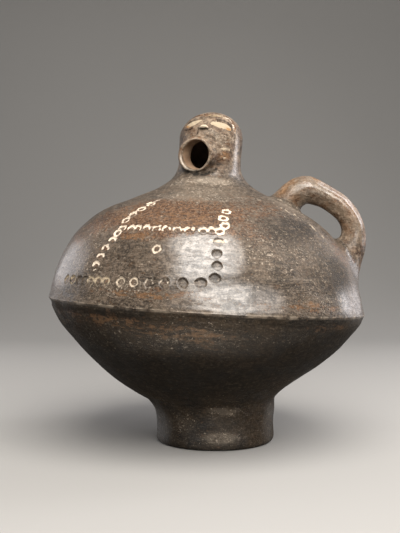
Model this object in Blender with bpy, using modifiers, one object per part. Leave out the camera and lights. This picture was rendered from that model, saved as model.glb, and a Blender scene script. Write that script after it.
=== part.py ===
"""Anthropomorphic jar: one hollow, hand-built and burnished piece of fired clay on a ring foot.

The handle is on the +X side, up is +Z, and the spout mouth is turned left of -Y, the front. The
origin is under the middle of the whole pot, and the foot's underside is z = 0. The pot was built by
eye: its foot stands off the belly's axis, its belly dips towards the handle, and its head leans that
way. Angles are in degrees from -Y and grow towards +X. A height is measured on the pot as if it
stood true, before it leans.
"""
import math

import bmesh
import bpy
from mathutils import Matrix, Vector

MM = 0.001

# Ring foot
FOOT_RADIUS = 47.3 * MM
FOOT_EDGE = 4.2 * MM
FOOT_WAIST = 46.5 * MM
FOOT_WAIST_HEIGHT = 26 * MM
RING_INNER_RADIUS = 35.5 * MM
RECESS_RADIUS = 29 * MM
RECESS_HEIGHT = 24 * MM

# Body
JOIN_RADIUS = 52 * MM
JOIN_HEIGHT = 34.3 * MM
BELLY_RADIUS = 125 * MM
BELLY_HEIGHT = 105.6 * MM
BELLY_EDGE = 1.6 * MM
LIP_TUCK = 0.6 * MM
SHOULDER_RADIUS = 69 * MM
SHOULDER_HEIGHT = 186 * MM
NECK_RADIUS = 25.4 * MM
NECK_HEIGHT = 219 * MM
HEAD_RADIUS = 25.7 * MM
DOME_HEIGHT = 238.5 * MM
TOP_HEIGHT = 260.4 * MM
WALL = 6.5 * MM
FLOOR_HEIGHT = 33 * MM
FLOOR_RADIUS = 30 * MM

# Slopes of the outline where its stretches meet, in degrees from the level
BOWL_START_SLOPE = 36.5
BOWL_END_SLOPE = 68
LIP_SLOPE = 78
SHOULDER_SLOPE = 22
NECK_SLOPE = 90

# How far each stretch keeps its slope, at its lower and its upper end
BOWL_HOLD = (31 * MM, 32 * MM)
SHOULDER_HOLD = (37 * MM, 36 * MM)
NECK_HOLD = (20 * MM, 16.6 * MM)

# How far the pot is out of true, towards its handle
BELLY_DIP = 0.058
SHOULDER_DIP = 0.033
FOOT_OFFSET = 6.5 * MM
BOWL_OFFSET = -0.9 * MM
FOOT_OFFSET_FADE = (21 * MM, 50 * MM)
BOWL_OFFSET_FADE = (70 * MM, 104 * MM)
HEAD_LEAN = 0.072
LEAN_START = 186 * MM

# Spout mouth
MOUTH_ANGLE = -22
MOUTH_HEIGHT = 223.2 * MM
MOUTH_REACH = 30 * MM
COLLAR_RADIUS = 13 * MM
COLLAR_BASE_RADIUS = 14.5 * MM
COLLAR_ROOT = 17 * MM
COLLAR_ROUND = 1.2 * MM
COLLAR_SIDES = 28
MOUTH_RADIUS = 10.8 * MM
THROAT_RADIUS = 8.6 * MM
THROAT_DEPTH = 18 * MM

# Face, about its own middle, which is turned a little from the mouth
FACE_ANGLE = -12
EYE_SPAN = (12, 48.5)
EYE_HEIGHTS = (249.6 * MM, 245.2 * MM)
EYE_GROOVE = 3.4 * MM
BROW_SPAN = 50
BROW_HEIGHT = 255.6 * MM
BROW_TURN = 62
BROW_TURN_HEIGHT = 252 * MM
BROW_END = 59
BROW_END_HEIGHT = 244.5 * MM
BROW_GROOVE = 2.3 * MM
NOSE_ANGLE = -16
NOSE_HEIGHT = 245.8 * MM
NOSE_RADIUS = 3.9 * MM
NOSE_TIP_RADIUS = 1 * MM
NOSE_LENGTH = 4.2 * MM
GROOVE_LIFT = 0.45

# Handle: distance from the belly's axis, height and half thickness at each place along it
HANDLE_PATH = (
    (54, 172, 14.5),
    (67, 192.5, 12.3),
    (78, 198.3, 11.6),
    (90, 195.5, 10),
    (105.5, 186, 9.2),
    (117.5, 165.5, 10),
    (113.5, 147, 12.2),
    (102, 130, 16),
)

# Rings pressed with a hollow reed: height of a row's first and last ring, and their angles
RING_ROWS = (
    (162.3, 162.3, (-36.1, -31.4, -28.5, -24.5, -20.1, -16.1, -11.8, -7, -1.9, 1.6, 4.6)),
    (166, 176.6, (6.8, 6.6, 8.6)),
    (154.7, 130.5, (3.9, 3, 3, 2.1)),
    (168.4, 179.9, (-37.1, -35.8, -33.6, -31.9)),
    (158.7, 134.5, (-37.2, -38.2, -39.9, -40.2, -40.8)),
    (125.5, 123, (-2.4, -8, -13.2, -18.4, -23.6, -28.6, -34.2, -37.6, -41.1, -45, -48.4, -52, -56.4)),
    (148.5, 148.5, (-17.9,)),
)
RING_RADIUS = 2.9 * MM
RING_GROOVE = 1.1 * MM
RING_LIFT = 0.3 * MM
RING_TILT = 10

# The belly's axis stands left of the middle, by half of what the handle reaches past the belly
HANDLE_REACH = 128.3 * MM
BELLY_AXIS = (BELLY_RADIUS - HANDLE_REACH) / 2

TURN_STEPS = 48
CAVITY_STEPS = 32


def bezier(start, lead, trail, end, count):
    """Points on a cubic curve, without its end."""
    points = []
    for i in range(count):
        t = i / count
        weights = ((1 - t) ** 3, 3 * t * (1 - t) ** 2, 3 * t * t * (1 - t), t ** 3)
        corners = (start, lead, trail, end)
        points.append(tuple(sum(w * p[k] for w, p in zip(weights, corners)) for k in (0, 1)))
    return points


def step(place, slope, length):
    """The point that lies a length from a place, up a slope in degrees."""
    angle = math.radians(slope)
    return (place[0] + length * math.cos(angle), place[1] + length * math.sin(angle))


def bowl(count):
    """Outline of the bowl, upwards from the foot to the belly's edge."""
    join = (JOIN_RADIUS, JOIN_HEIGHT)
    edge = (BELLY_RADIUS - LIP_TUCK, BELLY_HEIGHT)
    lead = step(join, BOWL_START_SLOPE, BOWL_HOLD[0])
    trail = step(edge, BOWL_END_SLOPE, -BOWL_HOLD[1])
    return bezier(join, lead, trail, edge, count)


def shoulder(count):
    """Outline of the shoulder, upwards from the belly's edge."""
    edge = (BELLY_RADIUS - LIP_TUCK, BELLY_HEIGHT + 2 * BELLY_EDGE)
    top = (SHOULDER_RADIUS, SHOULDER_HEIGHT)
    lead = step(edge, 180 - LIP_SLOPE, SHOULDER_HOLD[0])
    trail = step(top, 180 - SHOULDER_SLOPE, -SHOULDER_HOLD[1])
    return bezier(edge, lead, trail, top, count)


def neck(count):
    """Outline of the hollow curve between the shoulder and the head."""
    foot = (SHOULDER_RADIUS, SHOULDER_HEIGHT)
    top = (NECK_RADIUS, NECK_HEIGHT)
    lead = step(foot, 180 - SHOULDER_SLOPE, NECK_HOLD[0])
    trail = step(top, NECK_SLOPE, -NECK_HOLD[1])
    return bezier(foot, lead, trail, top, count)


def dome(count):
    """Outline of the head's round top, upwards, without the point on the axis."""
    rise = TOP_HEIGHT - DOME_HEIGHT
    turns = [math.radians(90 * i / count) for i in range(count)]
    return [(HEAD_RADIUS * math.cos(a), DOME_HEIGHT + rise * math.sin(a)) for a in turns]


def foot(count):
    """Outline of the foot, upwards from its resting ring."""
    turns = [math.radians(90 * i / 3 - 90) for i in range(3)]
    inner = FOOT_RADIUS - FOOT_EDGE
    edge = [(inner + FOOT_EDGE * math.cos(a), FOOT_EDGE * (1 + math.sin(a))) for a in turns]
    start = (FOOT_RADIUS, FOOT_EDGE)
    lead = (FOOT_WAIST, 3 * FOOT_EDGE)
    waist = (FOOT_WAIST, FOOT_WAIST_HEIGHT)
    return edge + bezier(start, lead, waist, (JOIN_RADIUS, JOIN_HEIGHT), count)


def outer_outline():
    """Outline of the pot, upwards from the middle of its underside to the crown."""
    recess = [(0, RECESS_HEIGHT), (RECESS_RADIUS, RECESS_HEIGHT - FOOT_EDGE), (RING_INNER_RADIUS, 0)]
    lip = [(BELLY_RADIUS - LIP_TUCK, BELLY_HEIGHT), (BELLY_RADIUS, BELLY_HEIGHT + BELLY_EDGE)]
    sides = foot(5) + bowl(8) + lip + shoulder(9)
    return recess + sides + neck(8) + dome(7) + [(0, TOP_HEIGHT)]


def inset(outline, depth):
    """An upward outline moved inwards by a depth, without its two ends."""
    moved = []
    for before, here, after in zip(outline, outline[1:], outline[2:]):
        run = Vector((after[0] - before[0], after[1] - before[1])).normalized()
        moved.append((here[0] - run.y * depth, here[1] + run.x * depth))
    return moved


def inner_outline():
    """Outline of the hollow, upwards from the middle of its floor."""
    floor = [(0, FLOOR_HEIGHT), (FLOOR_RADIUS, FLOOR_HEIGHT)]
    corner = [(BELLY_RADIUS, BELLY_HEIGHT + BELLY_EDGE)]
    skin_line = bowl(6) + corner + shoulder(6)[1:] + neck(5) + dome(4) + [(0, TOP_HEIGHT)]
    return floor + inset(skin_line, WALL) + [(0, TOP_HEIGHT - WALL)]


def ease(low, high, value):
    """Nought below one value, one above another, and a smooth rise between."""
    t = min(max((value - low) / (high - low), 0), 1)
    return t * t * (3 - 2 * t)


def towards(angle):
    """Level direction at an angle from the front."""
    return Vector((math.sin(math.radians(angle)), -math.cos(math.radians(angle)), 0))


def leaned(point):
    """Where a point of the true-standing pot lies on the real, leaning one."""
    height = point.z
    dip = BELLY_DIP + (SHOULDER_DIP - BELLY_DIP) * ease(BELLY_HEIGHT, SHOULDER_HEIGHT, height)
    drop = dip * ease(FOOT_WAIST_HEIGHT, BELLY_HEIGHT, height) * point.x
    above_foot = ease(*FOOT_OFFSET_FADE, height)
    offset = FOOT_OFFSET * (1 - above_foot)
    offset += BOWL_OFFSET * above_foot * (1 - ease(*BOWL_OFFSET_FADE, height))
    offset += HEAD_LEAN * max(0, height - LEAN_START)
    return point + Vector((BELLY_AXIS + offset, 0, -drop))


def radius_at(height):
    """Outer radius of the body above the belly's edge at a height."""
    outline = shoulder(40) + neck(20) + dome(60) + [(0, TOP_HEIGHT)]
    for (r0, z0), (r1, z1) in zip(outline, outline[1:]):
        if z0 <= height <= z1 and z1 > z0:
            return r0 + (r1 - r0) * (height - z0) / (z1 - z0)
    return HEAD_RADIUS


def skin(angle, height):
    """Place on the outer surface above the belly's edge."""
    return leaned(towards(angle) * radius_at(height) + Vector((0, 0, height)))


def outward(angle, height):
    """Direction straight out of the outer surface."""
    small = 0.5 * MM
    along = skin(angle + 0.5, height) - skin(angle - 0.5, height)
    upward = skin(angle, height + small) - skin(angle, height - small)
    return along.cross(upward).normalized()


def clay(name, colour, roughness):
    """Burnished fired clay."""
    material = bpy.data.materials.new(name)
    material.use_nodes = True
    shader = material.node_tree.nodes["Principled BSDF"]
    shader.inputs["Base Color"].default_value = (*colour, 1)
    shader.inputs["Roughness"].default_value = roughness
    shader.inputs["Metallic"].default_value = 0
    return material


def add_object(name, mesh, collection):
    """Puts a mesh in the scene."""
    item = bpy.data.objects.new(name, mesh)
    collection.objects.link(item)
    return item


def as_tool(item):
    """Marks an object that only shapes another."""
    item.hide_render = True
    item.display_type = "WIRE"
    return item


def frozen(item):
    """Replaces an object by the mesh that its modifiers or its curve make."""
    bpy.context.view_layer.update()
    evaluated = item.evaluated_get(bpy.context.evaluated_depsgraph_get())
    mesh = bpy.data.meshes.new_from_object(evaluated)
    mesh.transform(item.matrix_world)
    work = bmesh.new()
    work.from_mesh(mesh)
    bmesh.ops.remove_doubles(work, verts=work.verts, dist=0.01 * MM)
    bmesh.ops.recalc_face_normals(work, faces=work.faces)
    work.to_mesh(mesh)
    work.free()
    solid = add_object(item.name + "_solid", mesh, item.users_collection[0])
    bpy.data.objects.remove(item)
    return solid


def turned(name, outline, steps, collection):
    """Solid turned from an outline and then leaned as the pot leans."""
    mesh = bpy.data.meshes.new(name)
    points = [(radius, 0, height) for radius, height in reversed(outline)]
    mesh.from_pydata(points, [(i, i + 1) for i in range(len(points) - 1)], [])
    item = add_object(name, mesh, collection)
    screw = item.modifiers.new("turn", "SCREW")
    screw.axis = "Z"
    screw.steps = steps
    screw.render_steps = steps
    screw.use_merge_vertices = True
    screw.merge_threshold = 0.01 * MM
    solid = frozen(item)
    for vertex in solid.data.vertices:
        vertex.co = leaned(vertex.co)
    return solid


def rod(name, places, radii, collection, sides=4):
    """Round rod through places, with its own radius at each."""
    curve = bpy.data.curves.new(name, "CURVE")
    curve.dimensions = "3D"
    curve.bevel_depth = 1
    curve.bevel_resolution = sides
    curve.use_fill_caps = True
    curve.resolution_u = 3
    spline = curve.splines.new("BEZIER")
    spline.bezier_points.add(len(places) - 1)
    for point, place, radius in zip(spline.bezier_points, places, radii):
        point.co = place
        point.radius = radius
        point.handle_left_type = "AUTO"
        point.handle_right_type = "AUTO"
    return as_tool(frozen(add_object(name, curve, collection)))


def make_handle(collection):
    """Arched handle, thicker where it is smeared onto the shoulder."""
    places = [Vector((BELLY_AXIS + out * MM, 0, up * MM)) for out, up, _ in HANDLE_PATH]
    return rod("handle", places, [thick * MM for _, _, thick in HANDLE_PATH], collection)


def cone(name, start, end, start_radius, end_radius, sides, collection):
    """Closed cone between two places."""
    work = bmesh.new()
    bmesh.ops.create_cone(work, cap_ends=True, segments=sides, radius1=start_radius,
                          radius2=end_radius, depth=(end - start).length)
    mesh = bpy.data.meshes.new(name)
    work.to_mesh(mesh)
    work.free()
    turn = (end - start).to_track_quat("Z", "Y").to_matrix().to_4x4()
    mesh.transform(Matrix.Translation((start + end) / 2) @ turn)
    return as_tool(add_object(name, mesh, collection))


def mouth_place(reach):
    """Place on the mouth's axis at a distance in front of the head's axis."""
    return leaned(Vector((0, 0, MOUTH_HEIGHT))) + towards(MOUTH_ANGLE) * reach


def make_collar(collection):
    """Short raised collar round the mouth, with a rounded lip."""
    collar = cone("collar", mouth_place(COLLAR_ROOT), mouth_place(MOUTH_REACH), COLLAR_BASE_RADIUS,
                  COLLAR_RADIUS, COLLAR_SIDES, collection)
    bevel = collar.modifiers.new("lip", "BEVEL")
    bevel.width = COLLAR_ROUND
    bevel.segments = 2
    bevel.limit_method = "ANGLE"
    return as_tool(frozen(collar))


def make_throat(collection):
    """Funnel that opens the mouth into the hollow head."""
    slope = (MOUTH_RADIUS - THROAT_RADIUS) / (MOUTH_REACH - HEAD_RADIUS + WALL)
    inner, outer = MOUTH_REACH - THROAT_DEPTH, MOUTH_REACH + MM
    radii = [MOUTH_RADIUS + slope * (reach - MOUTH_REACH) for reach in (inner, outer)]
    return cone("throat", mouth_place(inner), mouth_place(outer), *radii, COLLAR_SIDES, collection)


def make_nose(collection):
    """Small pellet with a flat underside."""
    place = skin(NOSE_ANGLE, NOSE_HEIGHT)
    out = outward(NOSE_ANGLE, NOSE_HEIGHT)
    rise = (Vector((0, 0, 1)) - out * out.z).normalized()
    base = place - rise * NOSE_LENGTH / 2
    tip = place + rise * NOSE_LENGTH / 2
    return cone("nose", base, tip, NOSE_RADIUS, NOSE_TIP_RADIUS, 12, collection)


def groove(name, angles, heights, radius, collection):
    """Cutter for a shallow groove along the head's surface, half sunk in it."""
    places = []
    for angle, height in zip(angles, heights):
        places.append(skin(angle, height) + outward(angle, height) * radius * GROOVE_LIFT)
    return rod(name, places, [radius] * len(places), collection, sides=2)


def make_face_grooves(collection):
    """Two slanting eyes, and a brow line over the crown that hooks down beside them."""
    for name, sign in (("left", -1), ("right", 1)):
        angles = [FACE_ANGLE + sign * a for a in (EYE_SPAN[0], sum(EYE_SPAN) / 2, EYE_SPAN[1])]
        heights = (EYE_HEIGHTS[0], sum(EYE_HEIGHTS) / 2, EYE_HEIGHTS[1])
        groove("eye_" + name, angles, heights, EYE_GROOVE, collection)
    half = [(BROW_SPAN / 2, BROW_HEIGHT), (BROW_SPAN, BROW_HEIGHT), (BROW_TURN, BROW_TURN_HEIGHT),
            (BROW_END, BROW_END_HEIGHT)]
    line = [(-a, h) for a, h in reversed(half)] + [(0, BROW_HEIGHT)] + half
    groove("brow", [FACE_ANGLE + a for a, _ in line], [h for _, h in line], BROW_GROOVE, collection)


def make_rings(collection):
    """Cutters for the reed rings, which bite deeper on their upper side."""
    for row, (first, last, angles) in enumerate(RING_ROWS):
        for i, angle in enumerate(angles):
            height = (first + (last - first) * i / max(len(angles) - 1, 1)) * MM
            out = outward(angle, height)
            bpy.ops.mesh.primitive_torus_add(major_radius=RING_RADIUS, minor_radius=RING_GROOVE,
                                             major_segments=10, minor_segments=4)
            ring = bpy.context.object
            ring.name = f"ring_{row}_{i}"
            turn = out.to_track_quat("Z", "Y").to_matrix().to_4x4()
            tilt = Matrix.Rotation(math.radians(-RING_TILT), 4, "X")
            place = skin(angle, height) + out * RING_LIFT
            ring.data.transform(Matrix.Translation(place) @ turn @ tilt)
            bpy.context.collection.objects.unlink(ring)
            collection.objects.link(as_tool(ring))


def combine(item, name, operation, tool):
    """Adds a Boolean with one object or with a whole collection."""
    change = item.modifiers.new(name, "BOOLEAN")
    change.operation = operation
    change.solver = "EXACT"
    if isinstance(tool, bpy.types.Collection):
        change.operand_type = "COLLECTION"
        change.collection = tool
    else:
        change.object = tool


def new_collection(name, parent):
    """A named collection inside another."""
    collection = bpy.data.collections.new(name)
    parent.children.link(collection)
    return collection


def main():
    for item in list(bpy.data.objects):
        bpy.data.objects.remove(item)
    scene = bpy.context.scene.collection
    pot = new_collection("anthropomorphic_vessel", scene)
    tools = new_collection("tools", scene)
    grooves = new_collection("grooves", tools)
    rings = new_collection("rings", tools)

    vessel = turned("vessel", outer_outline(), TURN_STEPS, pot)
    vessel.name = "vessel"
    cavity = as_tool(turned("cavity", inner_outline(), CAVITY_STEPS, tools))
    make_face_grooves(grooves)
    make_rings(rings)

    combine(vessel, "collar", "UNION", make_collar(tools))
    combine(vessel, "handle", "UNION", make_handle(tools))
    combine(vessel, "hollow", "DIFFERENCE", cavity)
    combine(vessel, "throat", "DIFFERENCE", make_throat(tools))
    combine(vessel, "face grooves", "DIFFERENCE", grooves)
    combine(vessel, "nose", "UNION", make_nose(tools))
    combine(vessel, "rings", "DIFFERENCE", rings)

    vessel.data.materials.append(clay("vessel", (0.052, 0.042, 0.035), 0.42))
    vessel.data.shade_smooth()
    vessel.data.set_sharp_from_angle(angle=math.radians(40))


main()
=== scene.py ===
"""Looks of a burnished clay jar whose spout is a small human head.

The jar stands on z = 0 with its handle on +X and its face towards -Y. Angles are in degrees from -Y
and grow towards +X. Heights and distances named MM are millimetres. A height is measured on the jar
as if it stood true; lean() then puts it out of true, as the potter left it.
"""

import math

import bpy
import numpy as np
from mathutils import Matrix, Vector


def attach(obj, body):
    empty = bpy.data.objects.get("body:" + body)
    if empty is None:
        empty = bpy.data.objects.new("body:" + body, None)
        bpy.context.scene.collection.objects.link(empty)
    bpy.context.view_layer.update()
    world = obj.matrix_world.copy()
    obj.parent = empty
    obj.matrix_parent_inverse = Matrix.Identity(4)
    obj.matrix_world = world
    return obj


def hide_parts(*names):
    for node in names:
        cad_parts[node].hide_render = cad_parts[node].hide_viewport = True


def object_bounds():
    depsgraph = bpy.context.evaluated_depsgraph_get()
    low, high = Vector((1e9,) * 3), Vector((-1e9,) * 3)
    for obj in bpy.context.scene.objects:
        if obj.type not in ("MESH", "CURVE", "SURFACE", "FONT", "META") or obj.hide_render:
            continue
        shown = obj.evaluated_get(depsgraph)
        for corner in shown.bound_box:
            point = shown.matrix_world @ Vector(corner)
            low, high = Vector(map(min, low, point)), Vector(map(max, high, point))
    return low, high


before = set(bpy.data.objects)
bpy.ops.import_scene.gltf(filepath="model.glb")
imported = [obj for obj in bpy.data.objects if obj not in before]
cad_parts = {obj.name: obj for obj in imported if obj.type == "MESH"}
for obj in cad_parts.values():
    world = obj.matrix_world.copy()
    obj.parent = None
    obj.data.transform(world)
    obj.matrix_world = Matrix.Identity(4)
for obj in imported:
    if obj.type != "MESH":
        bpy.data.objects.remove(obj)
cad_box = [list(corner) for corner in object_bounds()]

MM = 0.001

# Ring foot, in millimetres as all sizes below
FOOT_RADIUS = 47.3
FOOT_EDGE = 4.2
FOOT_WAIST = 46.5
FOOT_WAIST_HEIGHT = 26
RING_INNER_RADIUS = 35.5
RECESS_RADIUS = 29
RECESS_HEIGHT = 24

# Body
JOIN = (52, 34.3)
BELLY_RADIUS = 125
BELLY_HEIGHT = 105.6
BELLY_EDGE = 1.6
LIP_TUCK = 0.6
SHOULDER = (69, 186)
NECK = (25.4, 219)
HEAD_RADIUS = 25.7
DOME_HEIGHT = 238.5
TOP_HEIGHT = 260.4
WALL = 6.5
FLOOR_HEIGHT = 33
FLOOR_RADIUS = 30

# Slopes of the outline where its stretches meet, and how far each stretch keeps them
BOWL_SLOPES, BOWL_HOLD = (36.5, 68), (31, 32)
SHOULDER_SLOPES, SHOULDER_HOLD = (102, 158), (37, 36)
NECK_SLOPES, NECK_HOLD = (158, 90), (20, 16.6)

# How far the jar is out of true
BELLY_AXIS = -1.65
BELLY_DIP = 0.058
SHOULDER_DIP = 0.033
FOOT_OFFSET, FOOT_OFFSET_FADE = 6.5, (21, 50)
BOWL_OFFSET, BOWL_OFFSET_FADE = -0.9, (70, 104)
HEAD_LEAN, LEAN_START = 0.072, 186

# Spout mouth
MOUTH_ANGLE = -24
MOUTH_HEIGHT = 223.2
MOUTH_REACH = 30
COLLAR_RADIUS = 13.2
COLLAR_BASE_RADIUS = 14.8
COLLAR_WIDE = 1.13
COLLAR_ROOT = 17
MOUTH_RADIUS = 11.3
THROAT_RADIUS = 10.6
THROAT_DEPTH = 18
THROAT_TURN = -33
THROAT_RISE = 7

# Handle: distance from the belly's axis, height and half thickness at each place along it
HANDLE_PATH = (
    (54, 172, 13.5),
    (67, 192.5, 11.8),
    (78, 198.3, 11.6),
    (90, 195.5, 10),
    (105.5, 186, 9.2),
    (117.5, 165.5, 10),
    (113.5, 147, 12.2),
    (102, 130, 15),
)

# Rings pressed with a hollow reed: height of a row's first and last ring, how much paste is left in
# them, how far it goes all round, how yellow it is, how hard they were pressed, and their angles
RING_ROWS = (
    (162.3, 162.3, 0.95, 0.1, 0.1, 0.8, (-36.1, -31.4, -28.5, -24.5, -20.1, -16.1, -11.8, -7, -1.9, 1.6)),
    (162.3, 162.3, 1.0, 0.8, 0.1, 0.8, (4.6,)),
    (166, 176.6, 1.0, 0.9, 0.1, 0.8, (6.8, 6.6, 8.6)),
    (154.7, 154.7, 0.35, 0.9, 0.3, 0.6, (3.9,)),
    (146.6, 130.5, 0.0, 0.0, 0.6, 1.0, (3, 3, 2.1)),
    (168.8, 181.5, 0.95, 0.5, 0.2, 0.5, (-37.1, -35.6, -33.6, -31.2)),
    (158.7, 158.7, 1.0, 0.9, 0.0, 0.7, (-37.2,)),
    (153.4, 134.8, 1.0, 0.0, 0.1, 0.6, (-38.2, -39.9, -40.6, -41.4)),
    (127, 126.2, 0.0, 0.0, 0.4, 1.0, (-2.4, -8)),
    (125.5, 124.9, 0.5, 0.3, 0.2, 0.7, (-14, -19)),
    (124.8, 124.5, 0.7, 0.7, 0.45, 0.7, (-24.2, -29.2)),
    (124.4, 123.7, 1.0, 0.2, 0.8, 0.9, (-35.5, -38.9, -42.1)),
    (123.6, 123.4, 0.3, 0.1, 0.5, 1.0, (-45, -48.4)),
    (123.2, 123, 1.0, 0.3, 0.9, 1.0, (-52.5, -56.9)),
    (148.5, 148.5, 0.75, 1.0, 0.35, 0.5, (-17.9,)),
)
RING_RADIUS = 2.9
RING_WIDTH = 0.8
RING_DEPTH = 0.95

COLUMNS = 48
CELL = 2 * math.pi / COLUMNS
FINEST = 5


def bezier(start, lead, trail, end, count):
    """Cubic curve: start(1-t)^3 + 3 lead t(1-t)^2 + 3 trail t^2(1-t) + end t^3, without its end."""
    t = np.linspace(0, 1, count, endpoint=False)[:, None]
    start, lead, trail, end = (np.array(p, float) for p in (start, lead, trail, end))
    return start * (1 - t) ** 3 + 3 * lead * t * (1 - t) ** 2 + 3 * trail * t * t * (1 - t) + end * t ** 3


def stretch(start, end, slopes, hold, count):
    """Cubic curve that leaves its start and reaches its end at slopes in degrees from the level."""
    ways = [np.array((math.cos(math.radians(a)), math.sin(math.radians(a)))) for a in slopes]
    lead = np.array(start) + ways[0] * hold[0]
    trail = np.array(end) - ways[1] * hold[1]
    return bezier(start, lead, trail, end, count)


def arc(centre, radii, turns, count):
    """Elliptic arc between two turns in degrees, without its end."""
    a = np.radians(np.linspace(*turns, count, endpoint=False))
    return np.stack([centre[0] + radii[0] * np.cos(a), centre[1] + radii[1] * np.sin(a)], axis=1)


BOWL_TOP = (BELLY_RADIUS - LIP_TUCK, BELLY_HEIGHT)
LIP = (BELLY_RADIUS, BELLY_HEIGHT + BELLY_EDGE)
SHOULDER_START = (BELLY_RADIUS - LIP_TUCK, BELLY_HEIGHT + 2 * BELLY_EDGE)


def shoulder_up(count):
    """Outline from the lip to the neck's top, then the head's side and round crown."""
    return np.vstack([
        stretch(SHOULDER_START, SHOULDER, SHOULDER_SLOPES, SHOULDER_HOLD, 2 * count),
        stretch(SHOULDER, NECK, NECK_SLOPES, NECK_HOLD, count),
        arc((0, DOME_HEIGHT), (HEAD_RADIUS, TOP_HEIGHT - DOME_HEIGHT), (0, 90), count),
        [(0, TOP_HEIGHT)],
    ])


def bowl_up(count):
    """Outline from the foot's join to the lip."""
    return stretch(JOIN, BOWL_TOP, BOWL_SLOPES, BOWL_HOLD, count)


def outer_outline(count):
    """The jar's whole outside, upwards from the middle of its underside, as (radius, height)."""
    recess = bezier((0, RECESS_HEIGHT), (RECESS_RADIUS, RECESS_HEIGHT), (RECESS_RADIUS + 2, 8),
                    (RING_INNER_RADIUS, 0), count)
    inner = FOOT_RADIUS - FOOT_EDGE
    edge = arc((inner, FOOT_EDGE), (FOOT_EDGE, FOOT_EDGE), (-90, 0), count // 4)
    side = bezier((FOOT_RADIUS, FOOT_EDGE), (FOOT_WAIST, 3 * FOOT_EDGE), (FOOT_WAIST, FOOT_WAIST_HEIGHT),
                  JOIN, count)
    return np.vstack([recess, [(RING_INNER_RADIUS, 0)], edge, side, bowl_up(2 * count), [BOWL_TOP], [LIP],
                      shoulder_up(count)])


def inset(outline, depth):
    """An upward outline moved inwards by a depth, without its two ends."""
    run = outline[2:] - outline[:-2]
    run /= np.linalg.norm(run, axis=1)[:, None]
    return outline[1:-1] + np.stack([-run[:, 1], run[:, 0]], axis=1) * depth


def inner_outline(count):
    """The hollow's outline, upwards from the middle of its floor."""
    floor = [(0, FLOOR_HEIGHT), (FLOOR_RADIUS, FLOOR_HEIGHT)]
    skin_line = np.vstack([bowl_up(count), [LIP], shoulder_up(count // 2)[1:]])
    return np.vstack([floor, inset(skin_line, WALL), [(0, TOP_HEIGHT - WALL)]])


def evenly(outline, step):
    """An outline's points set anew, a step apart."""
    length = np.r_[0, np.cumsum(np.hypot(*np.diff(outline, axis=0).T) + 1e-9)]
    places = np.linspace(0, length[-1], round(length[-1] / step))
    return np.stack([np.interp(places, length, outline[:, k]) for k in (0, 1)], axis=1)


OUTLINE = outer_outline(160)
ARC = np.r_[0, np.cumsum(np.hypot(*np.diff(OUTLINE, axis=0).T) + 1e-9)]
UPPER = evenly(shoulder_up(160), 0.5)
LIP_ARC = float(np.interp(LIP[1], OUTLINE[:, 1][320:], ARC[320:]))


def ease(low, high, value):
    """Nought below one value, one above another, and 3t^2 - 2t^3 between."""
    t = np.clip((value - low) / (high - low), 0, 1)
    return t * t * (3 - 2 * t)


def lean_terms(height):
    """The dip towards the handle and the shift along X at a height."""
    dip = BELLY_DIP + (SHOULDER_DIP - BELLY_DIP) * ease(BELLY_HEIGHT, SHOULDER[1], height)
    dip = dip * ease(FOOT_WAIST_HEIGHT, BELLY_HEIGHT, height)
    above_foot = ease(*FOOT_OFFSET_FADE, height)
    shift = FOOT_OFFSET * (1 - above_foot)
    shift = shift + BOWL_OFFSET * above_foot * (1 - ease(*BOWL_OFFSET_FADE, height))
    return dip, BELLY_AXIS + shift + HEAD_LEAN * np.maximum(0, height - LEAN_START)


def lean(points):
    """Moves points of the true-standing jar to where they are on the leaning one."""
    dip, shift = lean_terms(points[:, 2])
    return points + np.stack([shift, np.zeros_like(shift), -dip * points[:, 0]], axis=1)


def unlean(points):
    """The reverse of lean(), found by repeating it until it settles."""
    true = points.copy()
    for _ in range(8):
        dip, shift = lean_terms(true[:, 2])
        true[:, 0] = points[:, 0] - shift
        true[:, 2] = points[:, 2] + dip * true[:, 0]
    return true


def turned_point(angle, radius, height):
    """Points of the true-standing jar from angles in degrees, radii and heights."""
    a = np.radians(angle)
    return np.stack([radius * np.sin(a), -radius * np.cos(a), height + 0 * a], axis=1)


def skin(angle, height):
    """Places on the outer surface above the lip."""
    angle, height = np.broadcast_arrays(np.atleast_1d(angle), np.atleast_1d(height))
    radius = np.interp(height, UPPER[:, 1], UPPER[:, 0])
    return lean(turned_point(angle.astype(float), radius, height.astype(float)))


def skin_frame(angle, height):
    """A place on the upper surface, with its directions across, up the slope and outward."""
    place = skin(angle, height)[0]
    across = skin(angle + 0.5, height)[0] - skin(angle - 0.5, height)[0]
    up = skin(angle, height + 0.3)[0] - skin(angle, height - 0.3)[0]
    across /= np.linalg.norm(across)
    up -= across * (up @ across)
    up /= np.linalg.norm(up)
    return place, across, up, np.cross(across, up)


def all_rings():
    """Every ring: its angle and height, and then how it looks."""
    rings = []
    for first, last, *looks, angles in RING_ROWS:
        heights = np.linspace(first, last, len(angles))
        rings += [(a, h, *looks) for a, h in zip(angles, heights)]
    return rings


RINGS = all_rings()


def row_breaks():
    """Arc lengths where rows of the net must lie, and the rows from the start to each."""
    radius = np.maximum(OUTLINE[:, 0], 1.5)
    turn = np.r_[0, np.cumsum(np.diff(ARC) / ((radius[1:] + radius[:-1]) / 2))]
    first = np.interp(3, OUTLINE[:160, 0], ARC[:160])
    last = ARC[-1] - 1.5
    ring = [ARC[np.argmin(np.hypot(OUTLINE[:, 0] - r, OUTLINE[:, 1]))]
            for r in (RING_INNER_RADIUS, FOOT_RADIUS - FOOT_EDGE)]
    stops = [first, *ring, LIP_ARC - 3, LIP_ARC, LIP_ARC + 4, last]
    rows = [0]
    for a, b in zip(stops, stops[1:]):
        span = np.interp(b, ARC, turn) - np.interp(a, ARC, turn)
        rows.append(rows[-1] + max(1, round(span / CELL)))
    return stops, rows, turn


STOPS, ROWS, TURN = row_breaks()


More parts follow.
